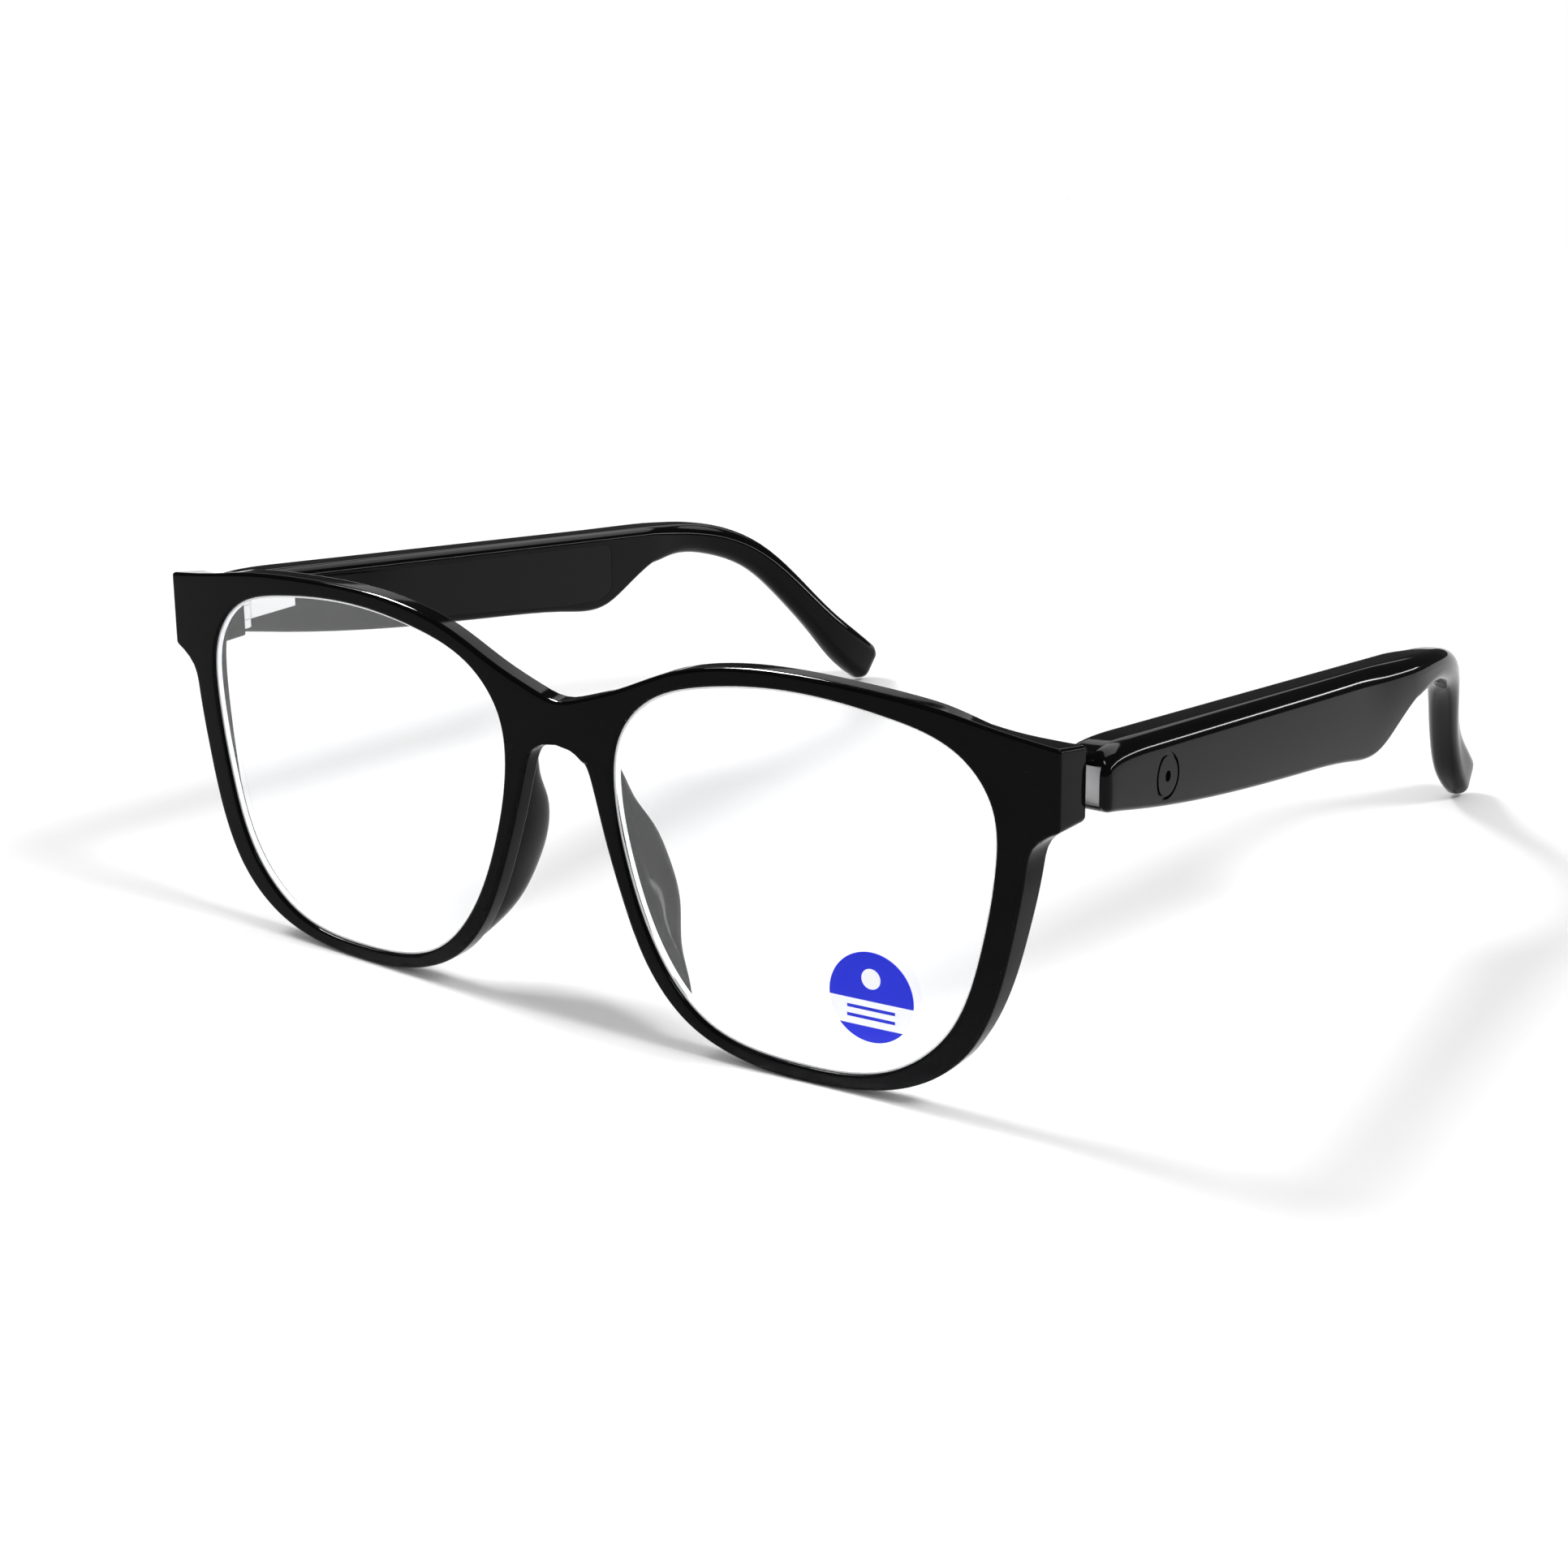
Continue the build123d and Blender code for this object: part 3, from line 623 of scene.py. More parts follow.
@dataclass
class Front:
    """The front frame with its two rims, end pieces, hinge seats and nose pads."""

    radius: float = 600.0
    half_width: float = 72.5
    rim_depth: float = 3.0
    end_start: float = 62.0
    end_back: float = 10.8
    front_inset: float = 0.01
    edge: float = 0.6
    opening_edge: float = 0.4
    # fall of the end piece's top towards the back: how far, from which x and height, over what runs
    end_fall: float = 1.1
    fall_start: tuple = (55.0, 11.0)
    fall_run: tuple = (12.0, 5.0)
    # how the mesh follows the outline
    rim_levels: tuple = (0, 0.32, 0.68, 1)
    least_turn: float = 0.006
    least_step: float = 0.75
    wall_margin: float = 0.3
    # the arch's top keeps its edges: half its width, the margin above it, its last clear point
    arch_top: float = 3.9
    arch_margin: float = 0.5
    arch_clear: float = 0.4
    # wall of a lens opening with its groove: how far outwards, how far behind the front
    wall_profile: tuple = ((0.0, 0.55), (0.5, 0.6), (0.5, 2.4), (0.0, 2.45))
    centre: tuple = (36.5, -3.0)
    brow: tuple = ((0, 11.0), (4, 11.9), (10, 14.1), (18, 17.6), (26, 19.59), (35, 20.28), (45, 19.99),
                   (55, 19.1), (63.5, 17.7), (73.0, 16.25))
    rim_side: tuple = ((73.0, 6.15), (70.9, 5.1), (69.0, 3.4), (68.1, 0), (66.7, -8), (64.6, -16.5),
                       (60.8, -24.3), (53.8, -30.0), (45.2, -32.4), (36.5, -32.88))
    rim_inner: tuple = ((36.5, -32.88), (27.9, -32.0), (19.9, -28.8), (13.7, -22.2), (9.8, -13.5),
                        (7.2, -5.5), (5.4, 1.0))
    arch: tuple = ((5.4, 1.0), (4.3, 3.4), (2.4, 4.7), (0, 5.1))
    opening: tuple = ((64.2, 0), (63.6, 8.0), (59.6, 13.3), (49.5, 16.8), (36.5, 18.0), (23.5, 16.6),
                      (14.1, 12.9), (9.8, 7.4), (9.0, 0), (10.9, -9.5), (15.7, -20.8), (22.5, -27.9),
                      (36.5, -30.8), (50.0, -28.9), (58.3, -21.8), (62.2, -11.5))
    # nose pad sections: height, x at the rim, x at the free edge, how far back the edge is
    pad_sections: tuple = ((38.0, 6.3, 6.5, 2.7), (35.5, 6.9, 7.3, 4.4), (31.5, 7.6, 8.2, 6.0),
                           (27.0, 8.7, 9.2, 8.8), (22.0, 10.1, 10.5, 10.3), (17.0, 11.9, 12.2, 10.1),
                           (12.0, 14.4, 13.9, 7.9), (8.0, 17.4, 16.9, 5.4), (5.6, 19.6, 19.0, 2.8))
    pad_half_thickness: float = 1.2
    pad_front: float = 1.0
    seat_centre: tuple = (67.85, 8.4)
    seat_size: tuple = (7.3, 5.0)
    seat_heights: tuple = (39.9, 45.3)
    seat_wall: float = 0.4
    seat_recess: float = 0.8

    def __post_init__(self) -> None:
        """Work out how far the lens opening is from its centre in each direction."""
        curve = spline_through(self.opening, closed=True, spacing=0.5)
        away = curve - np.array(self.centre)
        angles = np.arctan2(away[:, 1], away[:, 0])
        order = np.argsort(angles)
        self.opening_angles = angles[order]
        self.opening_reach = np.hypot(away[:, 0], away[:, 1])[order]

    def front_y(self, x: float, depth: float = 0.0) -> float:
        """Y of the curved front surface at x, plus a depth behind it."""
        return FRONT_Y + self.front_inset + self.radius - sqrt(self.radius**2 - x**2) + depth

    def back_y(self, x: float) -> float:
        """Y of the back surface at x: a thin rim, then the slope of the end piece."""
        x = abs(x)
        if x <= self.end_start:
            return self.front_y(x, self.rim_depth)
        start = self.front_y(self.end_start, self.rim_depth)
        share = (x - self.end_start) / (self.half_width - self.end_start)
        return start + (FRONT_Y + self.end_back - start) * share

    def back_height(self, x: float, z: float) -> float:
        """Height at the back of what is at height z in front: the end piece's top falls to the back."""
        outwards, upwards = (min(max((value - start) / run, 0), 1)
                             for value, start, run in zip((x, z), self.fall_start, self.fall_run))
        return z - self.end_fall * outwards**2 * (3 - 2 * outwards) * upwards

    def opening_at(self, angle: float) -> float:
        """Distance from the opening's centre to its edge at an angle."""
        return float(np.interp(angle, self.opening_angles, self.opening_reach, period=2 * pi))

    def half_outline(self) -> np.ndarray:
        """The outer edge of the left half, as (x, height from the lens line), ending at x = 0."""
        brow = self.within(spline_through(self.brow, start=(1, 0), end=(1, -0.12), spacing=1.4))
        side = spline_through(self.rim_side, start=(-1, -0.3), end=(-1, 0), spacing=1.2)
        side = self.within(side[::-1])[::-1]
        inner = spline_through(self.rim_inner, start=(-1, 0), end=(-0.3, 1), spacing=1.2)
        arch = spline_through(self.arch, start=(-0.3, 1), end=(-1, 0), spacing=0.7)
        arch = np.vstack([arch[arch[:, 0] > self.arch_clear], arch[-1]])
        drop = np.linspace(brow[-1], side[0], 9)[1:-1]
        rise = np.linspace(arch[-1], brow[0], 6)[1:-1]
        whole = np.vstack([brow, drop, side, inner[1:], arch[1:], rise])
        whole[:, 0] = np.maximum(whole[:, 0], 0)
        return whole

    def within(self, curve: np.ndarray) -> np.ndarray:
        """Cut a curve that runs outwards off exactly at the end piece's side."""
        last = int(np.argmax(curve[:, 0] > self.half_width))
        before, after = curve[last - 1], curve[last]
        share = (self.half_width - before[0]) / (after[0] - before[0])
        crossing = before + (after - before) * share
        kept = curve[:last]
        if np.linalg.norm(crossing - kept[-1]) < self.least_step:
            kept = kept[:-1]
        return np.vstack([kept, crossing])

    def rims(self) -> bmesh.types.BMesh:
        """The two rims, the bridge and the end pieces as one rounded solid."""
        outer = self.half_outline()
        angles = np.unwrap([atan2(z - self.centre[1], x - self.centre[0]) for x, z in outer])
        for i in range(1, len(angles)):
            angles[i] = min(angles[i], angles[i - 1] - self.least_turn)
        inner = self.opening_loop(angles)
        levels = [inner + (outer - inner) * share for share in self.rim_levels]
        front = [[(x, self.front_y(x), z + LENS_LINE) for x, z in level] for level in levels]
        back = [[(x, self.back_y(x), self.back_height(x, z) + LENS_LINE) for x, z in level]
                for level in levels]
        wall = [[(x, self.front_y(x, depth), z + LENS_LINE) for x, z in self.opening_loop(angles, out)]
                for out, depth in self.wall_profile]
        bm = bmesh.new()
        skin(bm, front[::-1] + wall + back, around=True)
        seam = [face for face in bm.faces if all(vert.co.x < 1e-4 for vert in face.verts)]
        bmesh.ops.delete(bm, geom=seam, context="FACES")
        bmesh.ops.mirror(bm, geom=bm.verts[:] + bm.edges[:] + bm.faces[:], axis="X", merge_dist=1e-3)
        tidy(bm)
        outside = [edge for edge in sharp_edges(bm)
                   if not any(self.in_wall(vert.co) for vert in edge.verts)]
        outline = [edge for edge in outside if not self.by_opening(edge) and not self.in_arch(edge)]
        round_edges(bm, outline, self.edge, 4)
        inside = [edge for edge in sharp_edges(bm) if self.by_opening(edge)
                  and not any(self.in_wall(vert.co) for vert in edge.verts)]
        round_edges(bm, inside, self.opening_edge, 4)
        return bm

    def opening_loop(self, angles: list, out: float = 0.0) -> np.ndarray:
        """Points of the opening's edge at angles round its centre, moved outwards by a distance."""
        reaches = [self.opening_at(angle) + out for angle in angles]
        return np.array([(self.centre[0] + reach * cos(angle), self.centre[1] + reach * sin(angle))
                         for reach, angle in zip(reaches, angles)])

    def by_opening(self, edge: bmesh.types.BMEdge) -> bool:
        """Whether an edge lies on the outline of a lens opening."""
        for vert in edge.verts:
            x, z = abs(vert.co.x) - self.centre[0], vert.co.z - LENS_LINE - self.centre[1]
            if abs(hypot(x, z) - self.opening_at(atan2(z, x))) > self.opening_edge:
                return False
        return True

    def in_arch(self, edge: bmesh.types.BMEdge) -> bool:
        """Whether an edge touches the top of the arch under the bridge."""
        top = self.arch[-1][1] + LENS_LINE
        return any(abs(vert.co.x) < self.arch_top and vert.co.z < top + self.arch_margin
                   for vert in edge.verts)

    def in_wall(self, point: Vector) -> bool:
        """Whether a point lies between the front and the back surface, as the lens groove does."""
        behind = point.y - self.front_y(point.x)
        return self.wall_margin < behind < self.rim_depth - self.wall_margin

    def nose_pad(self) -> bmesh.types.BMesh:
        """The left nose pad, a wing with an elliptical section that runs into the rim."""
        rings = []
        for height, root, edge, reach in spline_through(self.pad_sections, spacing=1.3):
            centre = Vector(((root + edge) / 2, FRONT_Y + (self.pad_front + reach) / 2, height))
            lean = Matrix.Rotation(atan2(root - edge, reach - self.pad_front), 3, "Z")
            half = (reach - self.pad_front) / 2
            rings.append([centre + lean @ Vector((self.pad_half_thickness * x, half * y, 0))
                          for x, y in circle(1.0, 36)])
        bm = bmesh.new()
        skin(bm, rings)
        tidy(bm)
        return bm

    def hinge_seat(self) -> bmesh.types.BMesh:
        """The block behind the left end piece, with the recess that the hinge leaf lies in."""
        x, back = self.seat_centre
        wide, deep = (size / 2 for size in self.seat_size)
        place = Matrix.Translation((0, FRONT_Y, 0)) @ Matrix.Rotation(-pi / 2, 4, "X")
        outline = [(px, -pz) for px, pz in rectangle((x - wide, self.seat_heights[0]),
                                                      (x + wide, self.seat_heights[1]))]
        bm = prism(outline, place, back - deep, back + deep, corner=0.4)
        rear = max(bm.faces, key=lambda face: face.calc_center_median().y)
        bmesh.ops.inset_region(bm, faces=[rear], thickness=self.seat_wall, use_even_offset=True)
        sunk = bmesh.ops.extrude_face_region(bm, geom=[rear])["geom"]
        bmesh.ops.delete(bm, geom=[rear], context="FACES_ONLY")
        bmesh.ops.translate(bm, vec=(0, -self.seat_recess, 0),
                            verts=[item for item in sunk if isinstance(item, bmesh.types.BMVert)])
        tidy(bm)
        return bm

    def build(self) -> None:
        """Make the whole front and hang it on its body."""
        extras = []
        for make in (self.nose_pad, self.hinge_seat):
            for side in Side:
                bm = make()
                if side is Side.RIGHT:
                    bmesh.ops.scale(bm, vec=(-1, 1, 1), verts=bm.verts[:])
                    bmesh.ops.reverse_faces(bm, faces=bm.faces[:])
                extras.append(bm)
        whole = joined([self.rims(), *extras])
        Piece("front_moulding", "front", (FRAME_BLACK,), ("front_frame",), "frame_black").finish(whole)


@dataclass
class Lenses:
    """The two clear lenses and the round film on the left one."""

    front: Front
    depth: float = 0.6
    thickness: float = 1.8
    tongue: float = 0.42
    band: float = 0.3
    chamfer: float = 0.14
    segments: int = 168
    shares: tuple = (0.1, 0.3, 0.5, 0.7, 0.86, 1.0)
    film_centre: tuple = (47.2, -19.7)
    film_radius: float = 5.95
    film_thickness: float = 0.12
    film_edge: float = 0.03
    film_gap: float = 0.01

    def ring(self, change: float, depth: float, share: float = 1.0) -> list:
        """A loop that follows the opening.

        Args:
            change: How far outside the opening's edge it is.
            depth: How far behind the front surface it is.
            share: Factor that shrinks it towards the opening's centre.

        Returns:
            Its points.
        """
        middle = np.array(self.front.centre)
        angles = [2 * pi * i / self.segments for i in range(self.segments)]
        loop = middle + (self.front.opening_loop(angles, change) - middle) * share
        return [(x, self.front.front_y(x, depth), z + LENS_LINE) for x, z in loop]

    def lens(self) -> bmesh.types.BMesh:
        """The left lens, curved like the front, with a ground band round its edge."""
        near, far = self.depth, self.depth + self.thickness
        rings = [self.ring(-self.band, near, share) for share in self.shares]
        rings.append(self.ring(0, near + self.chamfer))
        rings.append(self.ring(self.tongue, near + 2 * self.chamfer))
        rings.append(self.ring(self.tongue, far - 2 * self.chamfer))
        rings.append(self.ring(0, far - self.chamfer))
        rings += [self.ring(-self.band, far, share) for share in reversed(self.shares)]
        bm = bmesh.new()
        skin(bm, rings)
        tidy(bm)
        for face in bm.faces:
            middle = face.calc_center_median()
            x, z = middle.x - self.front.centre[0], middle.z - LENS_LINE - self.front.centre[1]
            inside = self.front.opening_at(atan2(z, x)) - hypot(x, z)
            face.material_index = 1 if inside < self.band * 0.98 else 0
        return bm

    def film(self) -> bmesh.types.BMesh:
        """The round film, laid on the front of the left lens."""
        bm = bmesh.new()
        x, z = self.film_centre
        radii = (0.2, 0.5, 0.8, 0.97, 1.0)
        far = self.depth - self.film_gap
        near = far - self.film_thickness
        layers = [(share, near) for share in radii[:-1]]
        layers += [(1.0, near + self.film_edge), (1.0, far)]
        layers += [(share, far) for share in reversed(radii[:-1])]
        rings = []
        for share, depth in layers:
            loop = circle(self.film_radius * share, 72, (x, z + LENS_LINE))
            rings.append([(px, self.front.front_y(px, depth), pz) for px, pz in loop])
        skin(bm, rings)
        tidy(bm)
        return bm

    def build(self) -> None:
        """Make both lenses and the film, and hang them on the front."""
        for side in Side:
            piece = Piece(f"lens_glazing_{side.word}", "front", (ClearLens(), GroundEdge()),
                          (f"lens_{side.word}",), "lens_clear", side, sharp=12.0)
            piece.finish(self.lens()).visible_shadow = False
        middle = (self.film_centre[0], 0, self.film_centre[1] + LENS_LINE)
        film = Piece("lens_film", "front", (PrintedFilm(middle),), ("lens_sticker",), "sticker_blue")
        film.finish(self.film())


# ---------------------------------------------------------------- the temples


@dataclass
class Section:
    """One cross-section of a temple.

    Args:
        s: Distance back along the temple.
        height: Height of its middle above the base.
        inwards: How far its middle lies inside the temple's plane.
        tall: Its height.
        thick: Its thickness.
        radii: Corner radii: top outer, top inner, bottom inner, bottom outer.
        heading: Direction along the temple as (s, height, inwards).
        bulge: How much the outer side curves, as its fall in millimetres 10 mm from its crest.
    """

    s: float
    height: float
    inwards: float
    tall: float
    thick: float
    radii: tuple
    heading: tuple = (1.0, 0.0, 0.0)
    bulge: float = 1.6


@dataclass
class Temple:
    """One temple: a hollow shell that runs into the ear hook, and its inner cover."""

    side: Side
    splay: float = 2.3
    origin: tuple = (71.3, FRONT_Y + 12.1)
    half_thickness: float = 3.3
    end_face: float = -0.5
    end_radius: float = 1.6
    top: tuple = ((-0.5, 46.1), (4.5, 46.9), (14.0, 45.9))
    top_slope: float = -0.13
    bottom: tuple = ((-0.5, 39.6), (9, 37.4), (32, 32.7), (55, 29.0), (70, 26.4), (79.5, 25.4),
                     (84, 27.0), (92, 30.1))
    shell_radii: tuple = (2.4, 1.5, 0.8, 0.8)
    # ear hook sections: s, height, how far inwards, height of section, thickness
    hook: tuple = ((97.0, 32.4, 0.1, 5.1, 6.0), (107.0, 30.4, 1.2, 4.9, 5.3),
                   (116.0, 26.0, 3.5, 4.8, 4.8), (123.0, 19.1, 6.0, 4.9, 4.5),
                   (129.2, 12.0, 8.0, 5.4, 4.4), (134.6, 6.6, 9.0, 6.6, 4.4),
                   (138.6, 3.4, 9.4, 6.6, 3.9))
    hook_end: tuple = (140.5, 2.1, 9.5, 4.4, 2.4)
    hook_roundness: float = 0.42
    crest: float = 0.2
    cavity: tuple = ((12.6, 43.45), (80.0, 34.7), (80.0, 28.2), (78.0, 27.3), (70.0, 28.1),
                     (55.0, 30.7), (32.0, 34.4), (12.6, 38.4))
    cavity_corner: float = 0.8
    outer_wall: float = 1.4
    pocket_depth: float = 1.35
    pocket_lip: float = 0.7
    pocket_corner: float = 1.2
    cover_thickness: float = 1.15
    cover_gap: float = 0.02
    cover_edge: float = 0.04
    least_radius: float = 0.35
    hinge_heights: tuple = (39.95, 45.25)
    stem_heights: tuple = (40.95, 44.25)
    mark_centre: tuple = (15.2, 40.0)
    mark_radius: float = 3.0
    mark_line: float = 0.45
    mark_dot: float = 0.7
    mark_depth: float = 0.36
    # room for the hinge, as ranges of s and t: the notch with the steel insert behind it
    notch: tuple = (-4.0, 2.2)
    insert: float = 0.7
    slider_room: tuple = ((-1.9, 2.95), (-4.1, -1.4))
    stem_room: tuple = ((1.5, 11.65), (-4.05, -1.45))
    # openings in the underside: s, height and slope of each, then their sizes and depths
    port: tuple = (50.0, 29.72, -9.3)
    speaker: tuple = (74.0, 25.78, -6.5)
    microphone: tuple = (19.0, 35.3, -11.6)
    light: tuple = (24.5, 34.15, -11.4)
    port_size: tuple = (10.0, 3.0)
    speaker_size: tuple = (8.0, 2.4)
    microphone_radius: float = 0.4
    light_radius: float = 0.6
    hole_depth: float = 2.4
    speaker_depth: float = 2.6

    def point(self, s: float, height: float, inwards: float = 0.0) -> Vector:
        """A point of the left temple in the whole object's frame."""
        lean = radians(self.splay)
        return Vector((self.origin[0] - s * sin(lean) - inwards * cos(lean),
                       self.origin[1] + s * cos(lean) - inwards * sin(lean), height))

    def plane(self, t: float = 0.0) -> Matrix:
        """Matrix of the temple's plane: x back along it, y up, z outwards, moved out by t."""
        lean = radians(self.splay)
        along = Vector((-sin(lean), cos(lean), 0))
        out = Vector((cos(lean), sin(lean), 0))
        matrix = Matrix((along, Vector((0, 0, 1)), out)).transposed().to_4x4()
        matrix.translation = self.point(0, 0, -t)
        return matrix

    def underside(self, s: float, height: float, slope: float) -> Matrix:
        """Matrix of a plane on the lower edge: x along it, z out of the temple."""
        along = self.plane().to_3x3() @ Vector((cos(radians(slope)), sin(radians(slope)), 0))
        out = self.plane().to_3x3() @ Vector((0, 0, 1))
        down = along.cross(out)
        matrix = Matrix((along, down.cross(along), down)).transposed().to_4x4()
        matrix.translation = self.point(s, height)
        return matrix

    def edge_heights(self, s: float) -> tuple:
        """Heights of the temple's lower and upper edge at s."""
        low = np.interp(s, self.bottom_curve[:, 0], self.bottom_curve[:, 1])
        end_s, end_height = self.top[-1]
        if s >= end_s:
            return low, end_height + self.top_slope * (s - end_s)
        return low, np.interp(s, self.top_curve[:, 0], self.top_curve[:, 1])

    def sections(self) -> list:
        """The cross-sections of the whole temple from its front end to the ear tip."""
        self.top_curve = spline_through(self.top, start=(1, 0.6), end=(1, self.top_slope), spacing=0.5)
        self.bottom_curve = spline_through(self.bottom, start=(1, -0.2), end=(1, 0.25), spacing=0.5)
        places = []
        for step in range(7):
            turn = step * pi / 12
            places.append((self.end_face + self.end_radius * (1 - cos(turn)),
                           self.end_radius * (1 - sin(turn))))
        places += [(s, 0.0) for s in np.linspace(2.6, 16, 9)]
        places += [(s, 0.0) for s in np.linspace(20, 72, 16)]
        places += [(s, 0.0) for s in np.linspace(73.5, 91, 15)]
        sections = []
        for s, inset in places:
            low, high = self.edge_heights(s)
            radii = tuple(max(radius - inset, self.least_radius) for radius in self.shell_radii)
            sections.append(Section(s, (low + high) / 2, 0.0, high - low - 2 * inset,
                                    2 * (self.half_thickness - inset), radii))
        return sections + self.hook_sections(sections[-1])

    def hook_sections(self, last: Section) -> list:
        """The cross-sections of the ear hook behind the last one of the shell."""
        start = (last.s, last.height, last.inwards, last.tall, last.thick)
        rows = spline_through((start, *self.hook), start=(1, -0.1, 0, -0.06, -0.02), spacing=2.2)[1:]
        sections = []
        for i, (s, height, inwards, tall, thick) in enumerate(rows):
            before, after = rows[max(i - 1, 0)], rows[min(i + 1, len(rows) - 1)]
            heading = tuple(after[:3] - before[:3])
            share = min((s - last.s) / 12, 1)
            full = self.hook_roundness * min(tall, thick)
            radii = tuple(min(radius + (full - radius) * share, full) for radius in self.shell_radii)
            sections.append(Section(s, height, inwards, tall, thick, radii, heading,
                                    Section.bulge * (1 - share)))
        final, target = sections[-1], self.hook_end
        for turn in (0.35, 0.65, 0.85, 1.0):
            move, shrink = sin(turn * pi / 2), cos(turn * pi / 2)
            centre = [a + (b - a) * move for a, b in zip(rows[-1][:3], target[:3])]
            tall, thick = final.tall * max(shrink, 0.2), final.thick * max(shrink, 0.2)
            radius = self.hook_roundness * min(tall, thick)
            sections.append(Section(*centre, tall, thick, (radius,) * 4, final.heading, 0.0))
        return sections

    def ring(self, section: Section, steps: int = 6) -> list:
        """The points round a cross-section with its four corners rounded."""
        origin = self.point(0, 0)
        heading = (self.point(*section.heading) - origin).normalized()
        across = heading.cross(Vector((0, 0, 1))).normalized()
        up = across.cross(heading)
        centre = self.point(section.s, section.height, section.inwards)
        flat = []
        signs = ((1, 1), (-1, 1), (-1, -1), (1, -1))
        for corner, ((out, rise), radius) in enumerate(zip(signs, section.radii)):
            for step in range(steps + 1):
                turn = (corner + step / steps) * pi / 2
                flat.append((out * (section.thick / 2 - radius) + radius * cos(turn),
                             rise * (section.tall / 2 - radius) + radius * sin(turn)))
        low, high = flat[-1][1], flat[0][1]
        flat += [(section.thick / 2, low + (high - low) * step / 8) for step in range(1, 8)]
        crest = -self.crest * section.tall
        points = []
        for x, y in flat:
            fall = section.bulge * ((y - crest) / 10) ** 2
            x -= fall * min(max(x / section.thick * 2, 0), 1)
            points.append(centre + across * x + up * y)
        return points

    def block(self, s: tuple, t: tuple, z: tuple) -> bmesh.types.BMesh:
        """A block between pairs of s, t and height."""
        return prism(rectangle((s[0], z[0]), (s[1], z[1])), self.plane(), t[0], t[1])

    def cutters(self) -> list:
        """Everything that is hollow in the shell, as solids to take away."""
        inner, outer = -self.half_thickness, self.half_thickness
        plane = self.plane()
        cuts = [
            prism(self.cavity, plane, inner - 0.01, outer - self.outer_wall, self.cavity_corner),
            prism(grown(self.cavity, self.pocket_lip), plane, inner - 1, inner + self.pocket_depth,
                  self.pocket_corner),
            self.block((-2, self.insert), self.notch, self.hinge_heights),
            self.block(*self.slider_room, self.hinge_heights),
            self.block(*self.stem_room, self.stem_heights),
            prism(slot_outline(*self.port_size), self.underside(*self.port), -self.hole_depth, 1),
            prism(slot_outline(*self.speaker_size), self.underside(*self.speaker),
                  -self.speaker_depth, 1),
            prism(circle(self.microphone_radius, 20), self.underside(*self.microphone),
                  -self.hole_depth, 1),
            prism(circle(self.light_radius, 24), self.underside(*self.light), -self.hole_depth, 1),
            prism(circle(self.mark_dot, 28, self.mark_centre), plane, outer - self.mark_depth, outer + 1),
        ]
        ring = bmesh.new()
        radii = (self.mark_radius, self.mark_radius - self.mark_line)
        loops = [[plane @ Vector((x, y, t)) for x, y in circle(radius, 64, self.mark_centre)]
                 for radius, t in ((radii[0], outer - self.mark_depth), (radii[0], outer + 1),
                                   (radii[1], outer + 1), (radii[1], outer - self.mark_depth))]
        edges = [add_ring(ring, loop) for loop in loops]
        for i, loop in enumerate(edges):
            bmesh.ops.bridge_loops(ring, edges=loop + edges[(i + 1) % 4])
        tidy(ring)
        return cuts + [ring]

    def shell(self) -> bmesh.types.BMesh:
        """The hollow shell with its ear hook."""
        bm = bmesh.new()
        skin(bm, [self.ring(section) for section in self.sections()])
        tidy(bm)
        whole = carved(bm, self.cutters())
        plane = self.plane().inverted()
        low, high = self.hinge_heights
        for face in whole.faces:
            s, z, t = plane @ face.calc_center_median()
            inside = self.slider_room[1][1] - 0.1 < t < self.notch[1] + 0.1 and low - 0.05 < z < high + 0.05
            face.material_index = 1 if inside and abs(s - self.insert) < 0.02 else 0
        return whole

    def cover(self) -> bmesh.types.BMesh:
        """The cover that closes the shell on its inner side."""
        place = self.plane() @ Matrix.Scale(-1, 4, (0, 0, 1))
        near = self.half_thickness - self.cover_gap
        outline = grown(self.cavity, self.pocket_lip - self.cover_gap)
        return prism(outline, place, near - self.cover_thickness, near,
                     corner=self.pocket_corner - self.cover_gap, edge=self.cover_edge)

    def build(self) -> None:
        """Make the shell and the cover, and hang them on the temple's body."""
        word = self.side.word
        body = f"temple_{word}"
        Piece(f"temple_moulding_{word}", body, (TEMPLE_BLACK, STEEL), (f"temple_shell_{word}",),
              "temple_black", self.side).finish(self.shell())
        Piece(f"temple_panel_{word}", body, (COVER_BLACK,), (f"temple_cover_{word}",),
              "cover_black", self.side).finish(self.cover())


# ---------------------------------------------------------------- studio


@dataclass
class Camera:
    """The camera, at a three-quarter view of the front from the wearer's left."""

    place: tuple = (270.6, -399.3, 172.5)
    azimuth: float = 36.024
    elevation: float = 18.444
    roll: float = -0.635
    lens: float = 79.21

    def build(self) -> None:
        """Make the camera and choose it for the scene."""
        turn, rise, roll = radians(self.azimuth), radians(self.elevation), radians(self.roll)
        back = Vector((sin(turn) * cos(rise), -cos(turn) * cos(rise), sin(rise)))
        right = Vector((0, 0, 1)).cross(back).normalized()
        up = back.cross(right)
        x = right * cos(roll) + up * sin(roll)
        y = up * cos(roll) - right * sin(roll)
        matrix = Matrix((x, y, back)).transposed().to_4x4()
        matrix.translation = Vector(self.place) * MM
        data = bpy.data.cameras.new("camera")
        data.lens = self.lens
        data.sensor_width = 36.0
        data.clip_start = 0.01
        data.clip_end = 50
        camera = bpy.data.objects.new("camera", data)
        camera.matrix_world = matrix
        bpy.context.scene.collection.objects.link(camera)
        bpy.context.scene.camera = camera


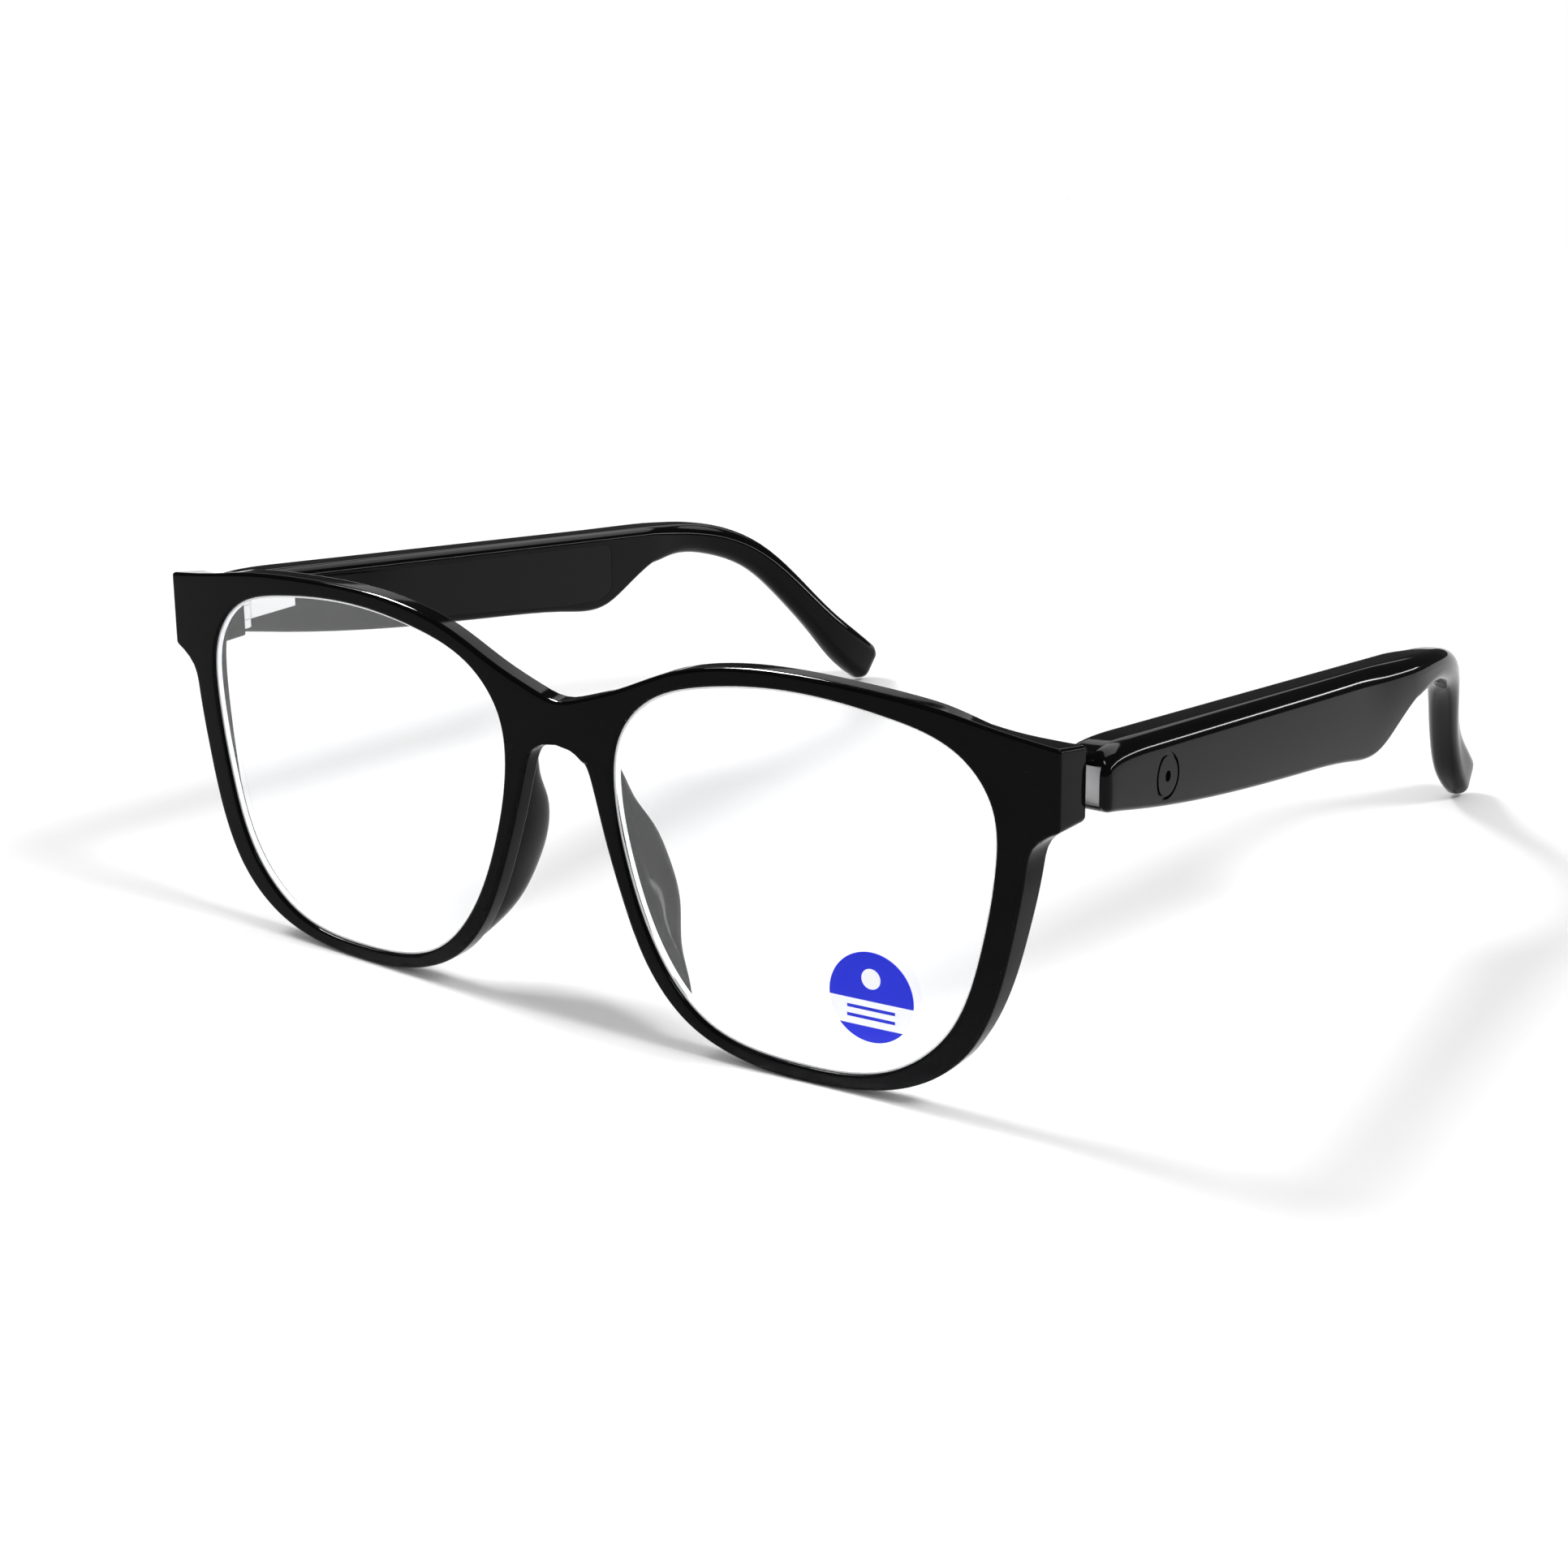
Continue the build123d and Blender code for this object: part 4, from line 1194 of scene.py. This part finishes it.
@dataclass(frozen=True)
class Lamp:
    """A light that faces the object, as a far round softbox or a near panel.

    Args:
        name: Its name.
        toward: Direction from the object to the light.
        strength: Strength of a far light, or power of a panel in watts.
        spread: Angle that a far light fills, in degrees.
        panel: Width and height of a panel in metres, or None for a far light.
        distance: How far away a panel is, in metres.
        shine_only: Whether the light shows only in polished surfaces.
    """

    name: str
    toward: tuple
    strength: float
    spread: float = 10.0
    panel: tuple | None = None
    distance: float = 1.5
    shine_only: bool = False

    def build(self) -> None:
        """Make the light."""
        data = bpy.data.lights.new(self.name, "AREA" if self.panel else "SUN")
        data.energy = self.strength
        if self.panel:
            data.shape = "RECTANGLE"
            data.size, data.size_y = self.panel
        else:
            data.angle = radians(self.spread)
        light = bpy.data.objects.new(self.name, data)
        direction = Vector(self.toward).normalized()
        light.location = direction * self.distance
        light.rotation_mode = "QUATERNION"
        light.rotation_quaternion = (-direction).to_track_quat("-Z", "Y")
        light.visible_diffuse = not self.shine_only
        light.visible_camera = False
        bpy.context.scene.collection.objects.link(light)


@dataclass
class Studio:
    """White floor, white surroundings and soft lights."""

    floor_size: float = 1.1
    floor_white: float = 0.86
    surround: float = 0.68
    surround_in_gloss: float = 0.07
    lamps: tuple = (
        Lamp("lamp_right", (0.68, 0.0, 0.73), 1.35, 14.0),
        Lamp("lamp_left", (-0.66, 0.03, 0.75), 1.35, 14.0),
        Lamp("panel_back", (-0.53, 0.80, 0.40), 1.5, panel=(1.4, 0.28), shine_only=True),
        Lamp("panel_high", (0.0, 0.77, 0.63), 6.0, panel=(1.2, 0.5), shine_only=True),
        Lamp("panel_top", (-0.559, 0.11, 0.82), 200.0, panel=(0.5, 0.3), shine_only=True),
        Lamp("strip_back", (0.60, 0.78, 0.14), 3.0, panel=(1.0, 0.04), shine_only=True),
    )

    def floor(self) -> None:
        """Make the floor."""
        bm = bmesh.new()
        bmesh.ops.create_grid(bm, x_segments=12, y_segments=12, size=self.floor_size / 2)
        floor = as_object(bm, "floor")
        wiring = Wiring("floor_white")
        white = self.floor_white
        patches = wiring.noise(wiring.place(), 0.004, 2.0)
        wiring.link(wiring.blend(patches, (white,) * 3, (white + 0.01,) * 3),
                    wiring.shader.inputs["Base Color"])
        wiring.set(Roughness=1.0, Specular_IOR_Level=0.0)
        floor.data.materials.append(wiring.result)

    def surroundings(self) -> None:
        """Make the white surroundings, which polished surfaces see as a darker room."""
        world = bpy.data.worlds.new("surround")
        bpy.context.scene.world = world
        world.use_nodes = True
        nodes, links = world.node_tree.nodes, world.node_tree.links
        ray = nodes.new("ShaderNodeLightPath")
        level = nodes.new("ShaderNodeMapRange")
        level.inputs["To Min"].default_value = self.surround
        level.inputs["To Max"].default_value = self.surround_in_gloss
        links.new(ray.outputs["Is Glossy Ray"], level.inputs["Value"])
        brighter = nodes.new("ShaderNodeMath")
        brighter.operation = "MAXIMUM"
        links.new(level.outputs["Result"], brighter.inputs[0])
        links.new(ray.outputs["Is Camera Ray"], brighter.inputs[1])
        background = nodes["Background"]
        background.inputs["Color"].default_value = (1, 1, 1, 1)
        links.new(brighter.outputs[0], background.inputs["Strength"])

    def build(self) -> None:
        """Make the floor, the surroundings and the lights."""
        self.floor()
        self.surroundings()
        for lamp in self.lamps:
            lamp.build()
        bpy.context.scene.view_settings.view_transform = "Standard"


def dress_carried_nodes(nodes: dict) -> None:
    """Give the carried-over nodes their finishes.

    Args:
        nodes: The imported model's objects by name.
    """
    for name, thing in nodes.items():
        base = name.removesuffix("_left").removesuffix("_right")
        if base in CARRIED:
            thing.data.materials.clear()
            thing.data.materials.append(CARRIED[base].material())
            LOG.info("%s: %s", name, CARRIED[base].name)


def main() -> None:
    """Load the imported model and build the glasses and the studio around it."""
    logging.basicConfig(level=logging.INFO, format="%(name)s %(message)s")
    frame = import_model()
    Camera().build()
    front = Front()
    front.build()
    Lenses(front).build()
    for side in Side:
        Temple(side).build()
    dress_carried_nodes(frame["nodes"])
    Studio().build()


if __name__ == "__main__":
    main()
